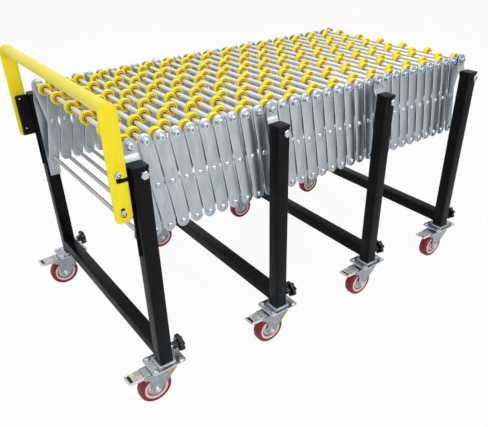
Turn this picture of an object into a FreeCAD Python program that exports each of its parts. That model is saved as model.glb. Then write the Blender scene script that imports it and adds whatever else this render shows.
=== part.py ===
import FreeCAD, Part
import math
import os

os.makedirs("parts", exist_ok=True)

# Flexible roller conveyor: a scissor lattice that carries yellow skate wheels, on four castered supports.
# Frame: +X runs from the handle end to the rear, +Y from the near side to the far side, +Z up.
# The origin is on the floor, below the middle of the whole machine. All sizes are in millimetres.

# Deck and lattice
bays = 30                     # scissor bays, so one axle more than this
pitch = 41.4                  # axle to axle, lattice pushed together
deck_height = 755.0           # floor to the centre of the top axles
lattice_rise = 239.0          # top axles to the cross rods below them
inner_width = 632.0           # clear width between the inner strips
link_width = 36.0
link_thickness = 3.0
link_gap = 1.5                # washer's room between inner and outer strips
link_bore_clearance = 0.1
rivet_radius = 4.0
rivet_head_radius = 8.0
rivet_head_height = 2.5
rivet_faces = 8               # pressed heads, with few faces because there are 120 of them

# Axles and cross rods
axle_radius = 7.0
stub_radius = 8.5             # socket-headed end outside the strips
stub_length = 9.0
stub_socket_radius = 4.0      # hexagon socket, centre to corner
stub_socket_depth = 5.0
rod_radius = 6.0
rod_head_radius = 8.5
rod_head_height = 5.0

# Skate wheels
wheels_per_axle = 6
wheel_radius = 19.0
wheel_width = 17.0
wheel_link_gap = 11.5         # outermost wheel to the inner strip
row_stagger = 35.5            # left free at a row's other end, so that neighbouring rows mesh
running_clearance = 0.05

# Supports
support_axles = (0, 10, 20, 30)
leg_side = 40.0
leg_wall = 2.0
leg_setback = 5.0             # leg's centre line towards the handle end from its axle
leg_top_drop = 30.0           # top axles down to the leg's top
cap_height = 8.0
cap_overhang = 1.5
bar_side = 40.0
bar_height = 16.0             # leg's lower end up to the cross bar
stop_gap = 0.3                # leg's lower end to the caster plate it rests on

# Telescoping stems
stem_gap = 0.3
stem_wall = 2.5
stem_length = 300.0
knob_height = 35.0            # leg's lower end up to the clamp knob
knob_stud_radius = 4.0
knob_stud_length = 12.0
knob_hub_radius = 11.0
knob_hub_length = 14.0
knob_radius = 26.0
knob_thickness = 15.0
knob_lobes = 7
knob_lobe_radius = 6.5

# End strips between lattice and legs
strip_width = 36.0
strip_thickness = 4.0
strip_washer = 1.5
strip_joggle = 17.5           # step outwards from the lattice to the leg
strip_bend_drop = 20.0        # top axle down to the start of the joggle
strip_bend_run = 35.0
strip_length_drop = 312.0     # top axle down to the strip's lower end
strip_bolt_drops = (257.0, 286.0)
leg_bolt_drop = 50.0
bolt_radius = 4.0
bolt_head_radius = 7.5
bolt_head_height = 5.0
bolt_clearance = 0.1

# Handle
handle_width = 44.0
handle_thickness = 4.0
handle_rise = 122.0           # top axles up to the handle's top
handle_drop = 163.0           # top axles down to the arms' lower ends
handle_offset = 55.0          # first axle to the arms' centre line
handle_inset = 20.0           # legs' outer faces in to the arms' inner faces
handle_tube_radius = 14.5
handle_tube_wall = 1.5
handle_corner_radius = 14.0
bracket_thickness = 5.0
bracket_reach = 67.0          # first axle to the bracket's free edge
bracket_drops = (32.0, 160.0)
bracket_tail = (6.0, 270.0)   # narrow tail down the leg: its reach, and its drop below the axle
handle_bolt_drops = (42.0, 138.0)
slot_width = 11.0
slot_mouth_drop = 58.0
lower_slot_length = 26.0

# Casters
caster_height = 125.0         # floor to the top of the caster's plate
plate_length = 105.0
plate_width = 80.0
plate_thickness = 3.0
plate_corner_radius = 10.0
plate_bolt_spacing = (80.0, 60.0)
plate_bolt_radius = 8.0
plate_bolt_height = 5.0
race_radius = 24.0
race_height = 4.0
race_gap = 0.3
wheel_crown_gap = 11.2        # tyre to the fork's crown
caster_wheel_width = 32.0
caster_trail = 40.0
caster_axle_radius = 5.0
hub_washer_radius = 10.0
hub_washer_gap = 0.3          # washer to the wheel's side
caster_nut_radius = 8.0
caster_nut_height = 6.0
fork_plate = 2.5
fork_side_gap = 3.5           # wheel's side to the fork, washer included
fork_boss_radius = 15.0
fork_front = 28.0             # swivel axis forwards to the crown's edge
fork_rear = 73.0              # swivel axis back to the side plates' edge
fork_arm_depth = 15.0         # crown down to the pedal arm's lower edge
fork_front_slope = -32.0      # degrees, where the front edge meets the boss
pedal_reach = 120.0           # swivel axis to the pedal's tip
pedal_width = 38.0
pedal_flange = 9.0
pedal_lip = 5.0
pedal_slot = (7.0, 22.0)      # slot near the tip, along and across
pedal_slot_inset = 9.0        # tip to the slot

# Places worked out from the sizes above
race_bottom = caster_height - plate_thickness - race_height - race_gap
crown_top = race_bottom - race_height
crown_bottom = crown_top - fork_plate
caster_wheel_radius = (crown_bottom - wheel_crown_gap) / 2
fork_inside = caster_wheel_width / 2 + fork_side_gap
fork_outside = fork_inside + fork_plate
row_length = inner_width - 2 * wheel_link_gap - wheel_width
wheel_spacing = (row_length - row_stagger) / (wheels_per_axle - 1)
lattice_length = bays * pitch
front_reach = leg_setback + pedal_reach
knob_reach = leg_side / 2 + knob_stud_length + knob_hub_length + knob_thickness
rear_reach = knob_reach - leg_setback
first_axle_x = (front_reach - rear_reach - lattice_length) / 2
inner_face = inner_width / 2
outer_link_face = inner_face + link_thickness + link_gap
stub_seat = outer_link_face + link_thickness
strip_face = stub_seat + strip_washer
stub_face = strip_face + strip_thickness
rod_height = deck_height - lattice_rise
leg_inner_face = stub_face + strip_joggle
leg_plane = leg_inner_face + leg_side / 2
leg_outer_face = leg_inner_face + leg_side
arm_face = leg_outer_face - handle_inset
leg_top = deck_height - leg_top_drop
leg_bottom = caster_height + stop_gap
sides = (("near", -1), ("far", 1))

X = FreeCAD.Vector(1, 0, 0)
Y = FreeCAD.Vector(0, 1, 0)
Z = FreeCAD.Vector(0, 0, 1)


def point(x, y, z):
    return FreeCAD.Vector(x, y, z)


def axle_x(index):
    return first_axle_x + index * pitch


def block(x_low, x_high, y_low, y_high, z_low, z_high):
    corner = point(x_low, min(y_low, y_high), z_low)
    return Part.makeBox(x_high - x_low, abs(y_high - y_low), z_high - z_low, corner)


def rod_along_y(x, z, radius, y_from, y_to):
    start = point(x, min(y_from, y_to), z)
    return Part.makeCylinder(radius, abs(y_to - y_from), start, Y)


def rod_along_x(x_from, x_to, y, z, radius):
    return Part.makeCylinder(radius, x_to - x_from, point(x_from, y, z), X)


def upright_rod(x, y, z_low, z_high, radius):
    return Part.makeCylinder(radius, z_high - z_low, point(x, y, z_low), Z)


def square_tube(x, y, side, wall, z_low, z_high):
    half = side / 2
    bore = half - wall
    outside = block(x - half, x + half, y - half, y + half, z_low, z_high)
    return outside.cut(block(x - bore, x + bore, y - bore, y + bore, z_low, z_high))


def prism_along_y(x, z, radius, faces, y_from, y_to):
    corners = []
    for step in range(faces):
        turn = 2 * math.pi * step / faces
        corners.append(point(x + radius * math.cos(turn), y_from, z + radius * math.sin(turn)))
    return Part.Face(Part.makePolygon(corners + corners[:1])).extrude(point(0, y_to - y_from, 0))


def hexagon_along_y(x, z, radius, y_from, y_to):
    return prism_along_y(x, z, radius, 6, y_from, y_to)


def round_ended_strip(x_1, z_1, x_2, z_2, width, y_from, y_to):
    """Flat strip with full-round ends about two centres in a plane across Y."""
    half = width / 2
    along = point(x_2 - x_1, 0, z_2 - z_1).normalize()
    across = point(-along.z, 0, along.x) * half
    first = point(x_1, y_from, z_1)
    last = point(x_2, y_from, z_2)
    edges = [
        Part.LineSegment(first + across, last + across),
        Part.Arc(last + across, last + along * half, last - across),
        Part.LineSegment(last - across, first - across),
        Part.Arc(first - across, first - along * half, first + across),
    ]
    outline = Part.Wire([edge.toShape() for edge in edges])
    return Part.Face(outline).extrude(point(0, y_to - y_from, 0))


def save(node, solids):
    shape = solids[0] if len(solids) == 1 else Part.makeCompound(solids)
    shape.exportStep("parts/" + node + ".step")


# Skate wheels: six on each axle, staggered from axle to axle so that they mesh
def wheel_places(index):
    outermost = inner_face - wheel_link_gap - wheel_width / 2
    direction = -1 if index % 2 == 0 else 1
    return [direction * (outermost - step * wheel_spacing) for step in range(wheels_per_axle)]


def skate_wheel(x, y):
    half = wheel_width / 2
    rim = rod_along_y(x, deck_height, wheel_radius, y - half, y + half)
    bore = rod_along_y(x, deck_height, axle_radius + running_clearance, y - half, y + half)
    return rim.cut(bore)


def wheel_row(index):
    return [skate_wheel(axle_x(index), y) for y in wheel_places(index)]


# Top axles with socket-headed ends, seated on the outer strips or on the end strips
def top_axle(index):
    x = axle_x(index)
    seat = stub_face if index in support_axles else stub_seat
    tip = seat + stub_length
    axle = rod_along_y(x, deck_height, axle_radius, -seat, seat)
    for _, side in sides:
        stub = rod_along_y(x, deck_height, stub_radius, side * seat, side * tip)
        socket = hexagon_along_y(x, deck_height, stub_socket_radius, side * (tip - stub_socket_depth), side * tip)
        axle = axle.fuse(stub.cut(socket))
    return axle.removeSplitter()


def cross_rod(index):
    x = axle_x(index)
    rod = rod_along_y(x, rod_height, rod_radius, -stub_seat, stub_seat)
    for _, side in sides:
        head = hexagon_along_y(x, rod_height, rod_head_radius, side * stub_seat, side * (stub_seat + rod_head_height))
        rod = rod.fuse(head)
    return rod.removeSplitter()


# Lattice strips: the outer ones lean one way and carry the rivets, the inner ones lean the other way
def lattice_strip(x_top, x_bottom, y_from, y_to):
    strip = round_ended_strip(x_top, deck_height, x_bottom, rod_height, link_width, y_from, y_to)
    top_bore = rod_along_y(x_top, deck_height, axle_radius + link_bore_clearance, y_from, y_to)
    bottom_bore = rod_along_y(x_bottom, rod_height, rod_radius + link_bore_clearance, y_from, y_to)
    return strip.cut(top_bore).cut(bottom_bore)


def rivet(x, side):
    z = (deck_height + rod_height) / 2
    inside = inner_face - rivet_head_height
    outside = stub_seat + rivet_head_height
    shank = prism_along_y(x, z, rivet_radius, rivet_faces, side * inside, side * stub_seat)
    outer_head = prism_along_y(x, z, rivet_head_radius, rivet_faces, side * stub_seat, side * outside)
    inner_head = prism_along_y(x, z, rivet_head_radius, rivet_faces, side * inside, side * inner_face)
    return shank.fuse(outer_head).fuse(inner_head)


def outer_link(bay, side):
    strip = lattice_strip(axle_x(bay), axle_x(bay + 1), side * outer_link_face, side * stub_seat)
    return strip.fuse(rivet(axle_x(bay + 0.5), side)).removeSplitter()


def inner_link(bay, side):
    strip_back = inner_face + link_thickness
    strip = lattice_strip(axle_x(bay + 1), axle_x(bay), side * inner_face, side * strip_back)
    middle = (deck_height + rod_height) / 2
    bore = rod_along_y(axle_x(bay + 0.5), middle, rivet_radius + link_bore_clearance,
                       side * inner_face, side * strip_back)
    return strip.cut(bore)


def links(make_link):
    return [make_link(bay, side) for _, side in sides for bay in range(bays)]


# Joggled end strips that hang the lattice's top axles on the legs
def end_strip(index, side):
    x = axle_x(index)
    half = strip_width / 2
    top_face = strip_face
    leg_face = leg_inner_face - strip_thickness
    bend_top = deck_height - strip_bend_drop
    bend_end = bend_top - strip_bend_run
    bottom = deck_height - strip_length_drop
    near_line = [(top_face, deck_height), (top_face, bend_top), (leg_face, bend_end), (leg_face, bottom)]
    back_line = [(y + strip_thickness, z) for y, z in reversed(near_line)]
    corners = [point(x - half, side * y, z) for y, z in near_line + back_line]
    strip = Part.Face(Part.makePolygon(corners + corners[:1])).extrude(point(strip_width, 0, 0))
    head = rod_along_y(x, deck_height, half, side * top_face, side * (top_face + strip_thickness))
    bore = rod_along_y(x, deck_height, axle_radius + link_bore_clearance,
                       side * top_face, side * (top_face + strip_thickness))
    strip = strip.fuse(head).cut(bore)
    for drop in strip_bolt_drops:
        hole = rod_along_y(x, deck_height - drop, bolt_radius + bolt_clearance,
                           side * leg_face, side * leg_inner_face)
        strip = strip.cut(hole)
    return strip.removeSplitter()


# Supports: two square legs joined by a low cross bar
def support_x(index):
    return axle_x(index) - leg_setback


def leg(index, side):
    x = support_x(index)
    y = side * leg_plane
    cap_half = leg_side / 2 + cap_overhang
    tube = square_tube(x, y, leg_side, leg_wall, leg_bottom, leg_top - cap_height)
    cap = block(x - cap_half, x + cap_half, y - cap_half, y + cap_half, leg_top - cap_height, leg_top)
    leg_shape = tube.fuse(cap)
    for drop in strip_bolt_drops:
        hole = rod_along_y(axle_x(index), deck_height - drop, bolt_radius + bolt_clearance,
                           side * leg_inner_face, side * (leg_inner_face + leg_wall))
        leg_shape = leg_shape.cut(hole)
    wall_inside = leg_side / 2 - leg_wall
    stud_hole = rod_along_x(x + wall_inside, x + leg_side / 2, y, leg_bottom + knob_height,
                            knob_stud_radius + bolt_clearance)
    return leg_shape.cut(stud_hole)


def cross_bar(index):
    x = support_x(index)
    half = bar_side / 2
    bore = half - leg_wall
    z_low = leg_bottom + bar_height
    z_high = z_low + bar_side
    bar = block(x - half, x + half, -leg_inner_face, leg_inner_face, z_low, z_high)
    return bar.cut(block(x - bore, x + bore, -leg_inner_face, leg_inner_face, z_low + leg_wall, z_high - leg_wall))


def handle_bracket(side):
    leg_face_x = support_x(support_axles[0]) - leg_side / 2
    inside = side * (arm_face - bracket_thickness)
    outside = side * arm_face
    plate = block(axle_x(0) - bracket_reach, leg_face_x, inside, outside,
                  deck_height - bracket_drops[1], deck_height - bracket_drops[0])
    tail = block(leg_face_x - bracket_tail[0], leg_face_x, inside, outside,
                 deck_height - bracket_tail[1], deck_height - bracket_drops[1])
    plate = plate.fuse(tail)
    for drop in handle_bolt_drops:
        hole = rod_along_y(axle_x(0) - handle_offset, deck_height - drop, bolt_radius + bolt_clearance,
                           inside, outside)
        plate = plate.cut(hole)
    return plate


def leg_frame(index):
    frame = cross_bar(index)
    for _, side in sides:
        frame = frame.fuse(leg(index, side))
        if index == support_axles[0]:
            frame = frame.fuse(handle_bracket(side))
    return frame.removeSplitter()


# Handle: two flat arms with locking slots, and a round tube between their tops
def locking_slot(side, y_from, y_to):
    x = axle_x(0) - handle_offset
    bolt_z = deck_height - handle_bolt_drops[0]
    mouth_z = deck_height - slot_mouth_drop
    half = slot_width / 2
    upright = round_ended_strip(x, mouth_z, x, bolt_z, slot_width, y_from, y_to)
    mouth = block(x, x + handle_width, y_from, y_to, mouth_z - half, mouth_z + half)
    return upright.fuse(mouth)


def lower_slot(side, y_from, y_to):
    x = axle_x(0) - handle_offset
    bolt_z = deck_height - handle_bolt_drops[1]
    reach = lower_slot_length / 2
    return round_ended_strip(x, bolt_z - reach, x, bolt_z + reach, slot_width, y_from, y_to)


def handle_arm(side):
    x = axle_x(0) - handle_offset
    half = handle_width / 2
    y_from = side * arm_face
    y_to = side * (arm_face + handle_thickness)
    crown_z = deck_height + handle_rise - half
    bottom = deck_height - handle_drop
    corner = handle_corner_radius
    chord = corner * (1 - math.sqrt(0.5))
    left = x - half
    right = x + half
    edges = [
        Part.Arc(point(left, y_from, crown_z), point(x, y_from, crown_z + half), point(right, y_from, crown_z)),
        Part.LineSegment(point(right, y_from, crown_z), point(right, y_from, bottom + corner)),
        Part.Arc(point(right, y_from, bottom + corner), point(right - chord, y_from, bottom + chord),
                 point(right - corner, y_from, bottom)),
        Part.LineSegment(point(right - corner, y_from, bottom), point(left + corner, y_from, bottom)),
        Part.Arc(point(left + corner, y_from, bottom), point(left + chord, y_from, bottom + chord),
                 point(left, y_from, bottom + corner)),
        Part.LineSegment(point(left, y_from, bottom + corner), point(left, y_from, crown_z)),
    ]
    outline = Part.Wire([edge.toShape() for edge in edges])
    arm = Part.Face(outline).extrude(point(0, y_to - y_from, 0))
    return arm.cut(locking_slot(side, y_from, y_to)).cut(lower_slot(side, y_from, y_to))


def handle():
    x = axle_x(0) - handle_offset
    z = deck_height + handle_rise - handle_tube_radius
    tube = rod_along_y(x, z, handle_tube_radius, -arm_face, arm_face)
    tube = tube.cut(rod_along_y(x, z, handle_tube_radius - handle_tube_wall, -arm_face, arm_face))
    for _, side in sides:
        tube = tube.fuse(handle_arm(side))
    return tube.removeSplitter()


# Bolts: handle bolts, the strips' bolts, and a hexagon head near each leg's top
def bolt_along_y(x, z, side, y_inside, y_outside):
    shank = rod_along_y(x, z, bolt_radius, side * y_inside, side * y_outside)
    nut = hexagon_along_y(x, z, bolt_head_radius, side * (y_inside - bolt_head_height), side * y_inside)
    head = hexagon_along_y(x, z, bolt_head_radius, side * y_outside, side * (y_outside + bolt_head_height))
    return shank.fuse(nut).fuse(head)


def bolts():
    solids = []
    for _, side in sides:
        for drop in handle_bolt_drops:
            solids.append(bolt_along_y(axle_x(0) - handle_offset, deck_height - drop, side,
                                       arm_face - bracket_thickness, arm_face + handle_thickness))
        for index in support_axles:
            for drop in strip_bolt_drops:
                solids.append(bolt_along_y(axle_x(index), deck_height - drop, side,
                                           leg_inner_face - strip_thickness, leg_inner_face + leg_wall))
            solids.append(hexagon_along_y(axle_x(index), deck_height - leg_bolt_drop, bolt_head_radius,
                                          side * leg_outer_face, side * (leg_outer_face + bolt_head_height)))
    return solids


# Star knobs that clamp the telescoping stems
def star_knob(index, side):
    x = support_x(index) + leg_side / 2 - leg_wall
    y = side * leg_plane
    z = leg_bottom + knob_height
    hub_x = x + leg_wall + knob_stud_length
    star_x = hub_x + knob_hub_length
    knob = rod_along_x(x, hub_x, y, z, knob_stud_radius)
    knob = knob.fuse(rod_along_x(hub_x, star_x, y, z, knob_hub_radius))
    star = rod_along_x(star_x, star_x + knob_thickness, y, z, knob_radius)
    for lobe in range(knob_lobes):
        turn = 2 * math.pi * (lobe + 0.5) / knob_lobes
        gap_y = y + knob_radius * math.cos(turn)
        gap_z = z + knob_radius * math.sin(turn)
        star = star.cut(rod_along_x(star_x, star_x + knob_thickness, gap_y, gap_z, knob_lobe_radius))
    return knob.fuse(star).removeSplitter()


# Stem tubes, each welded on its caster's top plate with the upper race below
def plate_bolt(x, y):
    """Hexagon head on the plate: the head along Y turned upright about its centre."""
    head = hexagon_along_y(x, 0, plate_bolt_radius, 0, plate_bolt_height)
    head.rotate(point(x, 0, 0), X, 90)
    head.translate(point(0, y, caster_height))
    return head


def caster_plate(x, y):
    half_x = plate_length / 2
    half_y = plate_width / 2
    low = caster_height - plate_thickness
    plate = block(x - half_x, x + half_x, y - half_y, y + half_y, low, caster_height)
    corners = [edge for edge in plate.Edges if abs(edge.CenterOfMass.z - low - plate_thickness / 2) < 0.01]
    plate = plate.makeFillet(plate_corner_radius, corners)
    for along in (-1, 1):
        for across in (-1, 1):
            bolt_x = x + along * plate_bolt_spacing[0] / 2
            bolt_y = y + across * plate_bolt_spacing[1] / 2
            plate = plate.fuse(plate_bolt(bolt_x, bolt_y))
    return plate.fuse(upright_rod(x, y, low - race_height, low, race_radius))


def leg_stem(index, side):
    x = support_x(index)
    y = side * leg_plane
    stem_side = leg_side - 2 * leg_wall - 2 * stem_gap
    tube = square_tube(x, y, stem_side, stem_wall, caster_height, caster_height + stem_length)
    return tube.fuse(caster_plate(x, y)).removeSplitter()


# Caster forks: side plates, crown, race, wheel bolt and brake pedal
def fork_side(x, y, side):
    """Side plate from the crown down to the boss around the wheel's bolt, hollowed behind the wheel."""
    axle_x_place = x - caster_trail
    y_from = y + side * fork_inside
    rear = x - fork_rear
    arm_low = crown_top - fork_arm_depth
    boss_rear = axle_x_place - fork_boss_radius
    hollow = boss_rear - rear
    bend = hollow * math.sqrt(0.5)
    slope = math.radians(fork_front_slope)
    front_tangent = point(axle_x_place + fork_boss_radius * math.cos(slope), y_from,
                          caster_wheel_radius + fork_boss_radius * math.sin(slope))
    boss_low = point(axle_x_place, y_from, caster_wheel_radius - fork_boss_radius)
    boss_side = point(boss_rear, y_from, caster_wheel_radius)
    hollow_low = point(boss_rear, y_from, arm_low - hollow)
    hollow_middle = point(rear + bend, y_from, arm_low - hollow + bend)
    hollow_high = point(rear, y_from, arm_low)
    edges = [
        Part.Arc(front_tangent, boss_low, boss_side),
        Part.LineSegment(boss_side, hollow_low),
        Part.Arc(hollow_low, hollow_middle, hollow_high),
        Part.LineSegment(hollow_high, point(rear, y_from, crown_top)),
        Part.LineSegment(point(rear, y_from, crown_top), point(x + fork_front, y_from, crown_top)),
        Part.LineSegment(point(x + fork_front, y_from, crown_top), front_tangent),
    ]
    outline = Part.Wire([edge.toShape() for edge in edges])
    return Part.Face(outline).extrude(point(0, side * fork_plate, 0))


def brake_pedal(x, y):
    tip = x - pedal_reach
    root = x - fork_rear
    half = pedal_width / 2
    slot_start = tip + pedal_slot_inset
    slot_half = pedal_slot[1] / 2
    pedal = block(tip, root, y - half, y + half, crown_bottom, crown_top)
    pedal = pedal.cut(block(slot_start, slot_start + pedal_slot[0], y - slot_half, y + slot_half,
                            crown_bottom, crown_top))
    pedal = pedal.fuse(block(tip, tip + fork_plate, y - half, y + half, crown_top, crown_top + pedal_lip))
    for side in (-1, 1):
        outer = y + side * half
        pedal = pedal.fuse(block(tip, root, outer - side * fork_plate, outer,
                                 crown_top - pedal_flange, crown_bottom))
    return pedal


def wheel_bolt(x, y):
    """Bolt across the fork with its washers beside the wheel and a nut at each end."""
    z = caster_wheel_radius
    bolt = rod_along_y(x, z, caster_axle_radius, y - fork_inside, y + fork_inside)
    washer_face = caster_wheel_width / 2 + hub_washer_gap
    for side in (-1, 1):
        washer = rod_along_y(x, z, hub_washer_radius, y + side * washer_face, y + side * fork_inside)
        nut = hexagon_along_y(x, z, caster_nut_radius,
                              y + side * fork_outside, y + side * (fork_outside + caster_nut_height))
        bolt = bolt.fuse(washer).fuse(nut)
    return bolt


def caster_fork(index, side_of_frame):
    x = support_x(index)
    y = side_of_frame * leg_plane
    fork = block(x - fork_rear, x + fork_front, y - fork_outside, y + fork_outside, crown_bottom, crown_top)
    fork = fork.fuse(upright_rod(x, y, crown_top, race_bottom, race_radius))
    for side in (-1, 1):
        fork = fork.fuse(fork_side(x, y, side))
    return fork.fuse(wheel_bolt(x - caster_trail, y)).fuse(brake_pedal(x, y)).removeSplitter()


def caster_wheel(index, side):
    """Tyre and core as one bored wheel around the fork's bolt."""
    x = support_x(index) - caster_trail
    y = side * leg_plane
    half = caster_wheel_width / 2
    tyre = rod_along_y(x, caster_wheel_radius, caster_wheel_radius, y - half, y + half)
    bore = rod_along_y(x, caster_wheel_radius, caster_axle_radius + running_clearance, y - half, y + half)
    return tyre.cut(bore)


def build():
    for index in range(bays + 1):
        save("wheel_row_%02d" % index, wheel_row(index))
    save("top_axles", [top_axle(index) for index in range(bays + 1)])
    save("cross_rods", [cross_rod(index) for index in range(bays + 1)])
    save("outer_links", links(outer_link))
    save("inner_links", links(inner_link))
    save("end_strips", [end_strip(index, side) for index in support_axles for _, side in sides])
    save("leg_frames", [leg_frame(index) for index in support_axles])
    save("handle", [handle()])
    save("bolts", bolts())
    save("knobs", [star_knob(index, side) for index in support_axles for _, side in sides])
    for number, index in enumerate(support_axles, 1):
        save("leg_stems_%d" % number, [leg_stem(index, side) for _, side in sides])
        for name, side in sides:
            save("caster_fork_%d_%s" % (number, name), [caster_fork(index, side)])
            save("caster_wheel_%d_%s" % (number, name), [caster_wheel(index, side)])


build()
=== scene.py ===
import logging
import math
from dataclasses import dataclass
from enum import Enum
from typing import Sequence

import bmesh
import bpy
from mathutils import Matrix, Vector


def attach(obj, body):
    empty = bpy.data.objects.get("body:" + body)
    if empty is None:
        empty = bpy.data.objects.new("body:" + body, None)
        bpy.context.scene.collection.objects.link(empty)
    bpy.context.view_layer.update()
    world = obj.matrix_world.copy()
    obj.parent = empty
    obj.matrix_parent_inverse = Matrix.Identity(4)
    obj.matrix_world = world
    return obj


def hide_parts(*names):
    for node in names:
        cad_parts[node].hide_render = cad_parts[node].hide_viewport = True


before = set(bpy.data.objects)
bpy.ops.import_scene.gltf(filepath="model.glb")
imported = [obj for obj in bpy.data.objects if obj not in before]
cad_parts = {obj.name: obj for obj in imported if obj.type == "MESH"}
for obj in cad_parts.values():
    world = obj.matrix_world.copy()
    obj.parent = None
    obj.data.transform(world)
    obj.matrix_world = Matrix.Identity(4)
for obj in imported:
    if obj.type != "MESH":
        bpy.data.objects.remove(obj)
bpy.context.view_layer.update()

# Dresses the flexible roller conveyor: wheels, lattice, supports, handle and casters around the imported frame.
# Axes: +X from the handle end to the rear, +Y from the near side to the far side, +Z up. Lengths in metres.

LOG = logging.getLogger("flexible_roller_conveyor")
INSERT = "insert"                # face attribute: true where a piece shows its second finish
LOCAL = "own_place"              # point attribute: place about the piece's own centre
CLOUD_RANGE = {"From Min": 0.3, "From Max": 0.7}     # part of a noise texture's range that its clouds fill
Pair = tuple[float, float]
Triple = tuple[float, float, float]
Mesh = bpy.types.Mesh
Socket = bpy.types.NodeSocket
Tree = bpy.types.NodeTree


class Axis(Enum):
    """Direction along which a flat outline is extruded, and where its two coordinates go."""

    X = ((0, 1, 0), (0, 0, 1), (1, 0, 0))
    Y = ((1, 0, 0), (0, 0, 1), (0, 1, 0))
    Z = ((1, 0, 0), (0, 1, 0), (0, 0, 1))

    def point(self, u: float, v: float, w: float) -> Triple:
        """Place of two flat coordinates and one along the axis."""
        first, second, along = self.value
        return tuple(u * first[row] + v * second[row] + w * along[row] for row in range(3))

    def parts(self, place: Triple) -> Triple:
        """The two flat coordinates of a place and the one along the axis."""
        return tuple(sum(a * b for a, b in zip(place, column)) for column in self.value)


class Side(Enum):
    """The conveyor's two long sides, with the sign of Y on each."""

    NEAR = -1
    FAR = 1


def linear(code: str) -> tuple[float, float, float, float]:
    """Turns an sRGB hex colour to linear light.

    Args:
        code: Colour such as "#A0B0C0".

    Returns:
        Red, green, blue and an opacity of one.
    """
    channels = [int(code[start:start + 2], 16) / 255 for start in (1, 3, 5)]
    light = [c / 12.92 if c <= 0.04045 else ((c + 0.055) / 1.055) ** 2.4 for c in channels]
    return light[0], light[1], light[2], 1.0


def per_metre(size_mm: float) -> float:
    """Scale of a texture whose features are size_mm across, on coordinates in metres."""
    return 1000.0 / size_mm


def add_node(tree: Tree, kind: str, links: dict | None = None,
             **settings: object) -> bpy.types.Node:
    """Adds a node with its settings and what goes into its sockets.

    Args:
        tree: Node tree that gets the node.
        kind: Blender's name of the node type.
        links: Input name or number to a value, or to another node's output.
        settings: Properties of the node itself.

    Returns:
        The new node.
    """
    node = tree.nodes.new(kind)
    for name, value in settings.items():
        setattr(node, name, value)
    for key, value in (links or {}).items():
        if isinstance(value, Socket):
            tree.links.new(value, node.inputs[key])
        else:
            node.inputs[key].default_value = value
    return node


# Finishes


@dataclass(frozen=True)
class Patch:
    """Ring or spot on a piece where another tone shows, measured on the piece's own coordinates: a real tint
    such as the fork's straw passivation, and painted shade such as in a wheel's groove.

    Attributes:
        colour: sRGB hex colour of the patch.
        centre: Its centre.
        mask: One for each axis along which distance counts, else zero.
        ring: Distance from the centre at which it is strongest, zero for a spot.
        full: Distance from there within which it has its full strength.
        gone: Distance from there at which it has faded out.
    """

    colour: str
    centre: Triple
    mask: Triple
    ring: float
    full: float
    gone: float

    def tint(self, tree: Tree, ground: Socket) -> Socket:
        """Lays the patch over a colour and returns the result.

        Args:
            tree: Node tree of the material.
            ground: Colour under the patch.

        Returns:
            The colour with the patch laid over it.
        """
        place = add_node(tree, "ShaderNodeAttribute", attribute_name=LOCAL).outputs["Vector"]
        for value, operation in ((self.centre, "SUBTRACT"), (self.mask, "MULTIPLY")):
            step = add_node(tree, "ShaderNodeVectorMath", {0: place, 1: value}, operation=operation)
            place = step.outputs[0]
        reach = add_node(tree, "ShaderNodeVectorMath", {0: place}, operation="LENGTH").outputs["Value"]
        away = add_node(tree, "ShaderNodeMath", {0: reach, 1: self.ring}, operation="SUBTRACT").outputs[0]
        size = add_node(tree, "ShaderNodeMath", {0: away}, operation="ABSOLUTE").outputs[0]
        share = add_node(tree, "ShaderNodeMapRange", {
            "Value": size, "From Min": self.full, "From Max": self.gone, "To Min": 1.0, "To Max": 0.0})
        mixed = add_node(tree, "ShaderNodeMix", {
            0: share.outputs["Result"], 6: ground, 7: linear(self.colour)}, data_type="RGBA")
        return mixed.outputs[2]


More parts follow.
